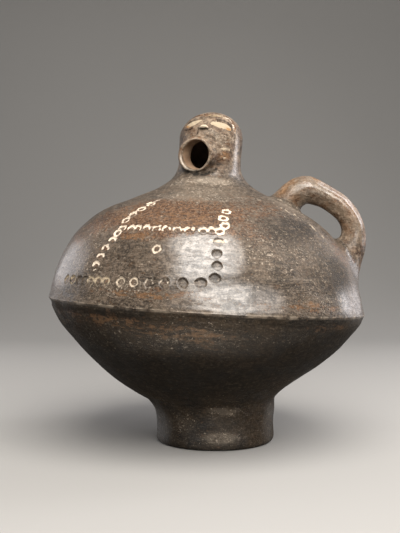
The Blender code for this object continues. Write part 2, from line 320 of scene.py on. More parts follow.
def net_place(column, row):
    """Angle in degrees and arc length of a place of the net, in cells of the coarsest level."""
    angle = column * 360 / COLUMNS - 180
    turns = np.interp(STOPS, ARC, TURN)
    length = np.interp(np.interp(row, ROWS, turns), TURN, ARC)
    return angle, length


def wanted_size(column, row):
    """How large a cell of the net may be, finer where the relief is fine."""
    angle, length = net_place(column, row)
    radius = np.interp(length, ARC, OUTLINE[:, 0])
    height = np.interp(length, ARC, OUTLINE[:, 1])
    front = np.abs(angle + 10) < 105
    size = np.where(front, 3.3, 4.2)
    size = np.where((height < 40) & (length > STOPS[2]), 2.1, size)
    size = np.where(length < STOPS[1], 4.0, size)
    size = np.where(np.abs(length - LIP_ARC) < 5, 2.1, size)
    size = np.where(height > 186, 2.3, size)
    size = np.where(height > 205, 1.5, size)
    size = np.where((height > 221) & front, 0.9, size)
    place = turned_point(angle, radius, height)
    upper = length > LIP_ARC + 4
    for a, h, *_ in RINGS:
        centre = turned_point(np.array([a]), np.interp([h], UPPER[:, 1], UPPER[:, 0]), np.array([h]))
        far = np.linalg.norm(place - centre, axis=1)
        size = np.where(upper & (far < 4.1), 0.5, size)
        size = np.where(upper & (far < 6), np.minimum(size, 1.2), size)
    face = (height > 240.5) & (height < 258.5) & (angle > -76) & (angle < 54)
    face |= (height > 231) & (height < 246) & (angle > -34) & (angle < 14)
    size = np.where(face, 0.45, size)
    ledge = (height > 126) & (height < 136) & (angle > -5) & (angle < 40)
    return np.where(ledge, np.minimum(size, 1.1), size)


def net_levels():
    """Which cells are split at each level, so that neighbours differ by one level at most."""
    split = []
    for level in range(FINEST):
        rows, columns = ROWS[-1] << level, COLUMNS << level
        mask = np.zeros((rows, columns), bool)
        exists = np.ones_like(mask) if level == 0 else split[-1].repeat(2, 0).repeat(2, 1)
        r, c = np.nonzero(exists)
        column, row = (c + 0.5) / (1 << level), (r + 0.5) / (1 << level)
        length = net_place(column, row)[1]
        width = np.interp(length, ARC, OUTLINE[:, 0]) * CELL / (1 << level)
        mask[r, c] = width > wanted_size(column, row)
        split.append(mask)
    for level in range(FINEST - 1, 0, -1):
        near = split[level].copy()
        near[1:] |= split[level][:-1]
        near[:-1] |= split[level][1:]
        near |= np.roll(near, 1, axis=1) | np.roll(near, -1, axis=1)
        split[level - 1] |= near.reshape(near.shape[0] // 2, 2, -1, 2).any(axis=(1, 3))
    return split


def net():
    """A net of square cells over the outline, split where finer, as places, quads and triangles.

    A cell whose neighbour is finer becomes a fan round its middle, so no edge is left open.
    """
    split = net_levels()
    unit = 1 << FINEST
    width = COLUMNS * unit
    quads, fans = [], []
    for level in range(FINEST + 1):
        size = unit >> level
        exists = np.ones_like(split[0]) if level == 0 else split[level - 1].repeat(2, 0).repeat(2, 1)
        leaf = exists & ~split[level] if level < FINEST else exists
        finer = np.pad(split[level] if level < FINEST else np.zeros_like(leaf), ((1, 1), (0, 0)))
        r, c = np.nonzero(leaf)
        below, above = finer[r, c], finer[r + 2, c]
        left, right = finer[r + 1, c - 1], finer[r + 1, (c + 1) % leaf.shape[1]]
        x0, y0 = c * size, r * size
        x1, y1 = (x0 + size) % width, y0 + size
        corners = np.stack([y0 * width + x0, y0 * width + x1, y1 * width + x1, y1 * width + x0], axis=1)
        uneven = below | above | left | right
        quads.append(corners[~uneven])
        if not uneven.any():
            continue
        half = size // 2
        middle = ((y0 + half) * width + x0 + half)[uneven]
        sides = ((below, y0, x0 + half), (right, y0 + half, x1), (above, y1, x0 + half), (left, y0 + half, x0))
        for k, (has, y, x) in enumerate(sides):
            a, b = corners[uneven, k], corners[uneven, (k + 1) % 4]
            m = (y * width + x)[uneven]
            cut = has[uneven]
            fans.append(np.stack([middle, a, b], axis=1)[~cut])
            fans.append(np.stack([middle, a, m], axis=1)[cut])
            fans.append(np.stack([middle, m, b], axis=1)[cut])
    quads, fans = np.vstack(quads), np.vstack(fans)
    keys, index = np.unique(np.r_[quads.ravel(), fans.ravel()], return_inverse=True)
    quads = index[:quads.size].reshape(-1, 4)
    fans = index[quads.size:].reshape(-1, 3)
    return keys % width / unit, keys // width / unit, quads, fans


def body_mesh():
    """The jar's outside as one closed surface: the net laid on the outline, closed at both poles."""
    column, row, quads, fans = net()
    angle, length = net_place(column, row)
    points = turned_point(angle, np.interp(length, ARC, OUTLINE[:, 0]), np.interp(length, ARC, OUTLINE[:, 1]))
    poles = np.array([(0, 0, RECESS_HEIGHT), (0, 0, TOP_HEIGHT)], float)
    caps = []
    for pole, edge_row, flip in ((len(points), 0, 1), (len(points) + 1, ROWS[-1], -1)):
        edge = np.nonzero(row == edge_row)[0]
        edge = edge[np.argsort(column[edge])]
        following = np.roll(edge, -flip)
        caps.append(np.stack([np.full(len(edge), pole), following, edge], axis=1))
    faces = [*quads.tolist(), *fans.tolist(), *np.vstack(caps).tolist()]
    return lean(np.vstack([points, poles])), faces


def tube_faces(rings, sides):
    """Quads between rings of points, and a fan on each end round two last points."""
    i, j = np.meshgrid(np.arange(rings - 1), np.arange(sides), indexing="ij")
    k = (j + 1) % sides
    quads = np.stack([i * sides + j, i * sides + k, (i + 1) * sides + k, (i + 1) * sides + j], axis=-1)
    side = np.arange(sides)
    after = (side + 1) % sides
    end = (rings - 1) * sides
    first = np.stack([np.full(sides, rings * sides), after, side], axis=1)
    last = np.stack([np.full(sides, rings * sides + 1), end + side, end + after], axis=1)
    return [*quads.reshape(-1, 4).tolist(), *first.tolist(), *last.tolist()]


def smooth_path(places, count):
    """A curve through places whose bending runs on smoothly: a natural cubic spline by chord length."""
    places = np.array(places, float)
    step = np.linalg.norm(np.diff(places[:, :2], axis=0), axis=1)
    knots = np.r_[0, np.cumsum(step)]
    n = len(places)
    system, side = np.eye(n), np.zeros_like(places)
    for i in range(1, n - 1):
        system[i, i - 1:i + 2] = step[i - 1], 2 * (step[i - 1] + step[i]), step[i]
        side[i] = 6 * ((places[i + 1] - places[i]) / step[i] - (places[i] - places[i - 1]) / step[i - 1])
    bend = np.linalg.solve(system, side)
    t = np.linspace(0, knots[-1], count)
    i = np.clip(np.searchsorted(knots, t, side="right") - 1, 0, n - 2)
    h = step[i][:, None]
    a, b = (knots[i + 1] - t)[:, None] / h, (t - knots[i])[:, None] / h
    return a * places[i] + b * places[i + 1] + ((a ** 3 - a) * bend[i] + (b ** 3 - b) * bend[i + 1]) * h * h / 6


HANDLE = smooth_path(HANDLE_PATH, 240)
HANDLE_FLAT = 1.1


def handle_mesh():
    """An oval section carried along the handle's path, a little wider than it is thick."""
    path = HANDLE[::2]
    along = np.gradient(path[:, :2], axis=0)
    along /= np.linalg.norm(along, axis=1)[:, None]
    sides = 48
    turn = np.arange(sides) * 2 * math.pi / sides
    out = np.cos(turn)[None, :] * path[:, 2:]
    x = path[:, :1] + out * along[:, 1:]
    z = path[:, 1:2] - out * along[:, :1]
    y = np.sin(turn)[None, :] * path[:, 2:] * HANDLE_FLAT
    rings = np.stack([x + BELLY_AXIS, y, z], axis=-1).reshape(-1, 3)
    ends = [(path[i, 0] + BELLY_AXIS, 0, path[i, 1]) for i in (0, -1)]
    return np.vstack([rings, ends]), tube_faces(len(path), sides)


MOUTH_FORWARD = np.array((math.sin(math.radians(MOUTH_ANGLE)), -math.cos(math.radians(MOUTH_ANGLE)), 0))
MOUTH_ORIGIN = lean(np.array([(0.0, 0.0, MOUTH_HEIGHT)]))[0]


def level_way(angle, rise):
    """Outward direction at an angle from the front, falling by a rise in degrees."""
    a, b = math.radians(angle), math.radians(rise)
    return np.array((math.sin(a) * math.cos(b), -math.cos(a) * math.cos(b), -math.sin(b)))


BORE_FORWARD = level_way(THROAT_TURN, THROAT_RISE)
BORE_END = MOUTH_ORIGIN + MOUTH_FORWARD * MOUTH_REACH


def turned_round(origin, forward, outline, sides, wide=1.0):
    """A closed solid turned round an axis from (reach, radius) places, inner end first."""
    turn = np.arange(sides) * 2 * math.pi / sides
    side = np.cross((0, 0, 1), forward)
    side /= np.linalg.norm(side)
    spoke = np.cos(turn)[:, None] * side * wide + np.sin(turn)[:, None] * np.cross(forward, side)
    reach, radius = outline[:, 0], outline[:, 1]
    rings = origin + reach[:, None, None] * forward + radius[:, None, None] * spoke[None]
    ends = origin + np.array([reach[0], reach[-1]])[:, None] * forward
    return np.vstack([rings.reshape(-1, 3), ends]), tube_faces(len(outline), sides)


def collar_mesh():
    """The collar round the mouth: a straight taper out to a flat end."""
    t = np.linspace(0, 1, 18)
    side = np.stack([COLLAR_ROOT + (MOUTH_REACH - COLLAR_ROOT) * t,
                     COLLAR_BASE_RADIUS + (COLLAR_RADIUS - COLLAR_BASE_RADIUS) * t], axis=1)
    end = np.stack([np.full(6, MOUTH_REACH), np.linspace(COLLAR_RADIUS - 0.5, 5, 6)], axis=1)
    return turned_round(MOUTH_ORIGIN, MOUTH_FORWARD, np.vstack([side, end]), 110, COLLAR_WIDE)


def throat_mesh():
    """The funnel that opens the mouth into the hollow head."""
    reach = np.linspace(-THROAT_DEPTH, 4, 26)
    return turned_round(BORE_END, BORE_FORWARD, np.stack([reach, throat_radius(reach)], axis=1), 100)


def throat_radius(reach):
    """The bore's radius at a reach along its axis, from the mouth's end."""
    slope = (MOUTH_RADIUS - THROAT_RADIUS) / (MOUTH_REACH - HEAD_RADIUS + WALL)
    return MOUTH_RADIUS + slope * reach


def hollow_mesh():
    """The jar's inside, turned from its outline."""
    outline = inner_outline(16)[1:-1]
    sides = 56
    turn = np.arange(sides) * 360 / sides
    angle, radius = np.tile(turn, len(outline)), outline[:, 0].repeat(sides)
    points = turned_point(angle, radius, outline[:, 1].repeat(sides))
    ends = np.array([(0, 0, FLOOR_HEIGHT), (0, 0, TOP_HEIGHT - WALL)], float)
    return lean(np.vstack([points, ends])), tube_faces(len(outline), sides)


def new_object(name, points, faces):
    """An object from places in millimetres and faces."""
    mesh = bpy.data.meshes.new(name)
    mesh.from_pydata((np.asarray(points) * MM).tolist(), [], faces)
    mesh.validate()
    item = bpy.data.objects.new(name, mesh)
    bpy.context.scene.collection.objects.link(item)
    return item


def joined(body, tools):
    """The body after each (operation, object), as one closed mesh."""
    for operation, tool in tools:
        change = body.modifiers.new(tool.name, "BOOLEAN")
        change.operation = operation
        change.solver = "MANIFOLD"
        change.object = tool
    bpy.context.view_layer.update()
    mesh = bpy.data.meshes.new_from_object(body.evaluated_get(bpy.context.evaluated_depsgraph_get()))
    for item in (body, *(tool for _, tool in tools)):
        bpy.data.objects.remove(item)
    return mesh


def points_of(mesh):
    """The mesh's places, in millimetres."""
    flat = np.empty(len(mesh.vertices) * 3, np.float32)
    mesh.vertices.foreach_get("co", flat)
    return flat.reshape(-1, 3).astype(float) / MM


def normals_of(mesh):
    """The mesh's outward directions at its vertices."""
    flat = np.empty(len(mesh.vertices) * 3, np.float32)
    mesh.vertices.foreach_get("normal", flat)
    return flat.reshape(-1, 3).astype(float)


def put_points(mesh, points):
    """Puts places in millimetres back into the mesh."""
    mesh.vertices.foreach_set("co", (points * MM).astype(np.float32).ravel())
    mesh.update()


def edges_of(mesh):
    """The mesh's edges as pairs of vertex numbers."""
    flat = np.empty(len(mesh.edges) * 2, np.int32)
    mesh.edges.foreach_get("vertices", flat)
    return flat.reshape(-1, 2)


def against(outline, points):
    """Distance out of a turned outline, and the number of its nearest point, for each place."""
    true = unlean(points)
    flat = np.stack([np.hypot(true[:, 0], true[:, 1]), true[:, 2]], axis=1)
    run = np.gradient(outline, axis=0)
    run /= np.linalg.norm(run, axis=1)[:, None]
    out = np.stack([run[:, 1], -run[:, 0]], axis=1)
    found, near = np.empty(len(flat)), np.empty(len(flat), int)
    for start in range(0, len(flat), 4000):
        part = slice(start, start + 4000)
        gap = ((flat[part, None, :] - outline[None]) ** 2).sum(axis=-1)
        near[part] = gap.argmin(axis=1)
        found[part] = ((flat[part] - outline[near[part]]) * out[near[part]]).sum(axis=1)
    return found, near


def from_body(points):
    """Distance out of the upper body, along the nearest part of its outline."""
    return against(UPPER, points)[0]


def from_handle(points):
    """Distance out of the handle's oval rod."""
    return round_handle(points)[0]


def round_handle(points):
    """Distance out of the handle's oval rod, and the turn round it from its outer side to its front."""
    flat = np.stack([points[:, 0] - BELLY_AXIS, points[:, 2]], axis=1)
    along = np.gradient(HANDLE[:, :2], axis=0)
    along /= np.linalg.norm(along, axis=1)[:, None]
    found, turn = np.empty(len(flat)), np.empty(len(flat))
    for start in range(0, len(flat), 4000):
        part = slice(start, start + 4000)
        gap = ((flat[part, None, :] - HANDLE[None, :, :2]) ** 2).sum(axis=-1)
        near = gap.argmin(axis=1)
        side = points[part, 1] / HANDLE_FLAT
        found[part] = np.sqrt(gap.min(axis=1) + side ** 2) - HANDLE[near, 2]
        away = flat[part] - HANDLE[near, :2]
        turn[part] = np.arctan2(-side, away[:, 1] * along[near, 0] - away[:, 0] * along[near, 1])
    return found, turn


def along_axis(points, origin, forward, wide=1.0):
    """Reach along an axis, and distance from it, less what it is wider sideways."""
    offset = points - origin
    reach = offset @ forward
    side = np.cross((0, 0, 1), forward)
    side /= np.linalg.norm(side)
    return reach, np.hypot(offset @ side / wide, offset @ np.cross(forward, side))


def into_bore(points):
    """Depth inside the bore's funnel, which ends inwards at its depth."""
    reach, radius = along_axis(points, BORE_END, BORE_FORWARD)
    return np.where(reach > 1 - THROAT_DEPTH, throat_radius(reach) - radius, -20)


def from_collar(points):
    """Distance out of the collar's taper and its flat end."""
    reach, radius = along_axis(points, MOUTH_ORIGIN, MOUTH_FORWARD, COLLAR_WIDE)
    part = np.clip((reach - COLLAR_ROOT) / (MOUTH_REACH - COLLAR_ROOT), 0, 1)
    side = radius - (COLLAR_BASE_RADIUS + (COLLAR_RADIUS - COLLAR_BASE_RADIUS) * part)
    return np.maximum(smooth_least(side, reach - MOUTH_REACH, 2.2, -1), COLLAR_ROOT - reach)


def smooth_least(a, b, reach, sign=1):
    """The smaller of two distances, rounded where they are within a reach: min - reach h^2 / 4.

    With sign -1 it is the larger of the two, rounded in the same way.
    """
    a, b = a * sign, b * sign
    h = np.maximum(reach - np.abs(a - b), 0) / reach
    return (np.minimum(a, b) - h * h * reach / 4) * sign


def handle_reach(points):
    """How far the handle's joints are smeared: further at its lower end."""
    return 6 + 8 * (1 - ease(150, 185, points[:, 2]))


def smeared(points):
    """Distance out of the whole jar, with its joints smeared as with wet fingers."""
    clay = smooth_least(from_body(points), from_handle(points), handle_reach(points))
    above = ease(-6, 8, points[:, 2] - MOUTH_ORIGIN[2])
    clay = smooth_least(clay, from_collar(points), 1.5 + 4 * above)
    return smooth_least(clay, into_bore(points), 1.8, -1)


def smear(mesh):
    """Moves the vertices near each joint onto the smeared surface, and evens them out there."""
    points = points_of(mesh)
    edges = edges_of(mesh)
    reach, radius = along_axis(points, MOUTH_ORIGIN, MOUTH_FORWARD)
    by_mouth = (reach > 12) & (radius < 24)
    by_handle = (points[:, 0] > 36) & (np.abs(points[:, 1]) < 40) & (points[:, 2] > 100)
    some = np.nonzero(by_mouth | by_handle)[0]
    apart = np.abs(smeared(points[some]))
    some = some[apart < 4.5]
    wanted = np.zeros(len(points), bool)
    wanted[some] = True
    degree = np.bincount(edges.ravel(), minlength=len(points)).astype(float)
    moved = points[some]
    for turn in range(13):
        value = smeared(moved)
        slope = np.stack([smeared(moved + step) - value for step in np.eye(3) * 0.05], axis=1) / 0.05
        moved = moved - (value / np.maximum((slope ** 2).sum(axis=1), 0.3))[:, None] * slope
        points[some] = moved
        if turn < 11:
            total = np.zeros_like(points)
            np.add.at(total, edges[:, 0], points[edges[:, 1]])
            np.add.at(total, edges[:, 1], points[edges[:, 0]])
            mean = total[some] / degree[some][:, None]
            blend = blended(moved)[:, None]
            moved = moved + (mean - moved) * 0.6 * blend
    put_points(mesh, points)


def blended(points):
    """How near places are to a joint, from nought to one."""
    body, handle, collar = from_body(points), from_handle(points), from_collar(points)
    by_handle = ease(0, 0.4, 1 - np.abs(body - handle) / handle_reach(points))
    by_collar = 1 - ease(1, 3, np.abs(body) + np.abs(collar))
    by_lip = 1 - ease(0.5, 2, np.abs(into_bore(points)) + np.abs(collar))
    return np.maximum(np.maximum(by_handle, by_collar), by_lip)


def waves(points, size, seed, squeeze=(1, 1, 1), count=26):
    """A smooth random field from about -1 to 1: a sum of sine waves of about one size in millimetres."""
    dice = np.random.default_rng(seed)
    ways = dice.normal(size=(count, 3))
    ways /= np.linalg.norm(ways, axis=1)[:, None]
    ways *= (2 * math.pi / (size * dice.uniform(0.7, 1.4, count)))[:, None]
    starts = dice.uniform(0, 2 * math.pi, count)
    return np.sin((points * squeeze) @ ways.T + starts).sum(axis=1) / math.sqrt(count / 2) / 2


def local(points, angle, height, reach):
    """Which points are within a reach of a place on the skin, and how far across and up it they are."""
    place, across, up, out = skin_frame(angle, height)
    offset = points - place
    near = np.nonzero((np.abs(offset) < reach).all(axis=1) & (offset @ out > -3))[0]
    return near, offset[near] @ across, offset[near] @ up


def skin_line(places):
    """A line over the skin through (angle, height, half width) places, as points and half widths."""
    places = np.array(places, float)
    t = np.linspace(0, len(places) - 1, 24 * len(places))
    angle, height, width = (np.interp(t, np.arange(len(places)), places[:, k]) for k in (0, 1, 2))
    return skin(angle, height), width


def near_line(points, places, reach):
    """Points within a reach of a line over the skin.

    Returns their numbers, their distance from it, how far along it they are from nought to one, its
    half width there, and their height above it.
    """
    path, width = skin_line(places)
    low, high = path.min(axis=0) - reach, path.max(axis=0) + reach
    near = np.nonzero(((points > low) & (points < high)).all(axis=1))[0]
    gap = np.linalg.norm(points[near][:, None] - path[None], axis=-1)
    closest = gap.argmin(axis=1)
    return near, gap.min(axis=1), closest / (len(path) - 1), width[closest], points[near, 2] - path[closest, 2]


# Eyes and brow as (angle, height, half width), from the nose outwards, and the brow from left to right
EYES = (
    ((-28, 251.2, 1.5), (-38, 249.8, 2.9), (-48, 248.6, 3.1), (-57, 247.8, 2.4)),
    ((1.5, 248.6, 2.3), (12.6, 247.7, 3.1), (25.6, 246.7, 3.0), (34, 245.5, 2.4)),
)
BROW = ((-72, 254.4, 1.5), (-42, 256, 1.8), (-21.5, 256.1, 2.2), (-8, 256.2, 2.4), (2.4, 255.9, 2.6),
        (26, 255.6, 2.2), (42.6, 254.0, 1.8), (48, 250.8, 1.8), (46.5, 246.7, 1.8), (45, 243.6, 1.4))
NOSE = (-15.3, 243.9)
NOSE_HALF_WIDTH = 3.9
NOSE_RISE = 3.4
NOSE_STANDS = 2.7

# Thin cuts and cracks: (angle, height, half width) places
CUTS = (
    ((-28.5, 245.5, 0.6), (-26.1, 243.4, 0.8), (-25.9, 239.8, 0.7), (-27, 236.5, 0.5)),
    ((-27, 236.9, 0.6), (-15, 238, 0.9), (-4, 237.6, 0.9), (6, 235.2, 0.8), (12, 231, 0.5)),
    ((2, 251.8, 0.5), (14, 251.6, 0.8), (26, 251.0, 1.0), (35, 249.4, 1.0), (40.5, 246.5, 0.8), (41, 243, 0.5)),
    ((-66, 244.6, 0.5), (-56, 243.4, 0.8), (-44, 243.4, 0.7), (-36, 245, 0.4)),
)

# Painted shadow in the crease below the mouth, under the collar
UNDER_MOUTH = ((-54, 214, 0.8), (-42, 211.6, 2), (-28, 209.2, 2.8), (-10, 208.2, 3), (4, 210.4, 2.4), (12, 213, 1))

# Ledge where the lower band of the shoulder was smoothed over, and a pit beside the lower row
LEDGE = ((1.5, 129.4, 0.3), (5.5, 129.2, 1), (9.5, 130.6, 1), (14, 133, 0.9), (22.1, 132.6, 0.5),
         (31.9, 133.6, 0.4), (40, 133.4, 0.1))
PIT = (-17.4, 128)

# Paste smeared on the skin outside the rings: (angle, height, half width) places
SMEARS = (
    ((-37.4, 171.2, 0.6), (-34.6, 176.4, 0.8)),
    ((-32.6, 180.2, 0.5), (-29.4, 185, 0.8)),
    ((0.8, 155.6, 0.9), (6.6, 155.2, 1.3)),
    ((-41.8, 131.2, 0.6), (-41.2, 132, 0.6)),
    ((-45.6, 131.2, 0.6), (-45.2, 131.8, 0.6)),
    ((14.5, 228.2, 0.6), (24, 228.6, 1.2), (35, 228.4, 0.9)),
    ((17, 222.4, 0.3), (22, 222.2, 0.6), (28, 222, 0.3)),
)

# Low ridge that runs up the shoulder to the handle's root, with a painted highlight along it
RIDGE = ((41, 185.5, 0.6), (47, 180.5, 0.9), (53.1, 175.7, 1.1), (55.2, 166.5, 1.0), (58, 158, 0.8))


def carve_rings(points, masks):
    """Depth of the reed's rings, with the paste that is left in them."""
    push = np.zeros(len(points))
    for a, h, paste, full, yellow, press in RINGS:
        near, x, y = local(points, a, h, 7)
        rough = waves(points[near], 3.2, 31)
        far = np.hypot(x * (1 + 0.06 * math.sin(a * 3)), y) + 0.35 * waves(points[near], 6, 32)
        up = y / np.maximum(far, 0.05)
        deep = 0.4 + 0.6 * ease(-0.6, 0.9, up)
        groove = np.exp(-((far - RING_RADIUS) / (RING_WIDTH * 0.7)) ** 2) * deep
        dish = 0.42 * (1 - ease(RING_RADIUS - 0.6, RING_RADIUS + 0.3, far)) * (1 + 0.9 * y / RING_RADIUS)
        rim = 0.14 * np.exp(-((far - RING_RADIUS - 1.4) / 0.6) ** 2)
        depth = -RING_DEPTH * press * np.maximum(groove, dish)
        push[near] = np.minimum(push[near], depth) + rim
        all_round = 0.15 + 0.85 * full
        kept = all_round + (1 - all_round) * ease(-0.75, 0.5, up)
        kept = kept * np.exp(-((far - RING_RADIUS + 0.1) / (1.0 + 0.25 * rough)) ** 2) * (1.05 + 0.35 * rough)
        masks["paste"][near] = np.maximum(masks["paste"][near], kept * paste)
        masks["yellow"][near] = np.maximum(masks["yellow"][near], yellow * (1 - ease(3, 5, far)))
        shade = np.exp(-((far - RING_RADIUS) / 0.6) ** 2) * ease(-0.2, 0.9, up) * (1 - 0.85 * paste)
        masks["dark_and_shade"][near] = np.maximum(masks["dark_and_shade"][near], shade * 0.8)
        masks["rust"][near] = np.maximum(masks["rust"][near], 0.6 * paste * (1 - ease(1.2, 2.4, far)))
    return push


def carve_face(points, masks):
    """Depth of the eyes, brow and cuts, and the nose that stands out between them."""
    push = np.zeros(len(points))
    for eye in EYES:
        near, far, t, width, above = near_line(points, eye, 7)
        q = far / width
        floor = -0.75 * (1 - ease(0.82, 1.08, q))
        crack = -0.5 * np.exp(-((q - 1.02) / 0.1) ** 2)
        push[near] = np.minimum(push[near], floor + crack) + 0.25 * np.exp(-((q - 1.45) / 0.25) ** 2)
        ragged = q + 0.12 * waves(points[near], 2.6, 41) + 0.08 * waves(points[near], 1.3, 42)
        masks["paste"][near] = np.maximum(masks["paste"][near], 1.15 * (1 - ease(0.82, 1.0, ragged)))
        masks["yellow"][near] = np.maximum(masks["yellow"][near], 0.75 * (1 - ease(0.9, 1.2, q)))
        masks["stain"][near] = np.maximum(masks["stain"][near], ease(0.62, 0.95, t) * ease(0.3, -0.5, above) * (q < 1.1))
        # A dark line in the crack round each eye; the extra darkness along its lower edge is painted shadow, that
        # above its outer half the brown clay between eye and brow
        rim = np.exp(-((q - 1.06) / 0.12) ** 2) * (0.45 + 0.35 * (above < 0) + 0.4 * ease(0.5, 1, t) * (above > 0))
        masks["dark_and_shade"][near] = np.maximum(masks["dark_and_shade"][near], rim)
    near, far, t, width, _ = near_line(points, BROW, 6)
    q = far / width
    push[near] = np.minimum(push[near], -0.65 * (1 - ease(0.6, 1.15, q)))
    worn = 0.6 * waves(points[near], 3, 43) + 0.5 * waves(points[near], 1.4, 44)
    kept = 0.1 + 0.56 * ease(0.24, 0.34, t) - 0.34 * ease(0.5, 0.6, t) + 0.7 * worn
    masks["paste"][near] = np.maximum(masks["paste"][near], kept * (1 - ease(0.75, 1.05, q + 0.2 * worn)))
    masks["yellow"][near] = np.maximum(masks["yellow"][near], (1 - ease(0.5, 0.7, t)) * (1 - ease(0.9, 1.2, q)))
    masks["rust"][near] = np.maximum(masks["rust"][near], 0.8 * (1 - ease(1.0, 1.6, q)) * (1 - kept))
    for cut in CUTS:
        near, far, t, width, _ = near_line(points, cut, 4)
        mark = np.exp(-(far / width) ** 2) * ease(0, 0.15, t) * ease(0, 0.15, 1 - t)
        push[near] -= 0.6 * mark
        masks["dark_and_shade"][near] = np.maximum(masks["dark_and_shade"][near], 0.9 * mark)
    near, x, y = local(points, *NOSE, 8)
    taper = np.clip(y / NOSE_RISE, 0, 1)
    side = np.clip(1 - (x / (NOSE_HALF_WIDTH * (1 - 0.5 * taper))) ** 2, 0, 1)
    stands = np.sqrt(side) * (1 - taper ** 1.3) * ease(-0.5, 0.1, y)
    push[near] += NOSE_STANDS * stands
    masks["paste"][near] = np.maximum(masks["paste"][near], ease(0.15, 0.5, stands))
    masks["yellow"][near] = np.maximum(masks["yellow"][near], 0.55 * ease(0.15, 0.5, stands))
    # Painted shadow in a line under the nose's flat bottom, over a shallow groove
    under = ease(0.25, 0.7, np.sqrt(np.clip(1 - (x / NOSE_HALF_WIDTH) ** 2, 0, 1)))
    under = under * np.exp(-((y + 0.75) / 0.5) ** 2)
    masks["dark_and_shade"][near] = np.maximum(masks["dark_and_shade"][near], under)
    push[near] -= 0.35 * under
    return push


def carve_marks(points, masks):
    """Depth of the ledge, ridge and pit, the paste smeared between rings, and painted shade and highlights at them and
    below the mouth.
    """
    push = np.zeros(len(points))
    near, far, t, width, above = near_line(points, LEDGE, 9)
    hollow = np.where(above > 0, np.exp(-far / 2.6), np.exp(-far / 0.7))
    push[near] -= 0.6 * width * hollow
    # Painted shadow in the ledge's hollow, and a painted highlight in a thin line along the step below it
    masks["dark_and_shade"][near] = np.maximum(masks["dark_and_shade"][near], 0.15 * width * np.exp(-(far / 1.3) ** 2))
    masks["pale"][near] += 0.5 * ease(0.3, 0.6, t) * np.exp(-((above + 1.3) / 0.7) ** 2)
    near, far, t, width, _ = near_line(points, RIDGE, 5)
    raised = np.exp(-(far / (1.4 * width)) ** 2) * ease(0, 0.15, t) * ease(0, 0.15, 1 - t)
    push[near] += 0.4 * raised
    # Painted highlight along the ridge's crest: pale colour and yellowish paste
    masks["pale"][near] = np.maximum(masks["pale"][near], 0.95 * raised)
    painted_highlight = 0.8 * raised * (0.8 + 0.5 * waves(points[near], 5, 47))
    masks["paste"][near] = np.maximum(masks["paste"][near], painted_highlight)
    masks["yellow"][near] = np.maximum(masks["yellow"][near], 0.7 * (raised > 0.05))
    near, x, y = local(points, *PIT, 4)
    hole = np.exp(-(np.hypot(x, y) / 1.0) ** 2)
    push[near] -= 1.1 * hole
    # Painted shade in the pit
    masks["dark_and_shade"][near] = np.maximum(masks["dark_and_shade"][near], hole)
    for smear_line in SMEARS:
        near, far, _, width, _ = near_line(points, smear_line, 4)
        q = far / width + 0.25 * waves(points[near], 2.4, 45)
        masks["paste"][near] = np.maximum(masks["paste"][near], 0.75 * (1 - ease(0.6, 1.3, q)))
        on_head = ease(205, 215, points[near, 2])
        masks["yellow"][near] = np.maximum(masks["yellow"][near], 0.7 * on_head)
    # Painted shadow below the mouth's collar
    near, far, _, width, _ = near_line(points, UNDER_MOUTH, 7)
    soft = 1 - ease(0.1, 1.5, far / width + 0.2 * waves(points[near], 5, 46))
    masks["dark_and_shade"][near] = np.maximum(masks["dark_and_shade"][near], 1.15 * soft)
    return push
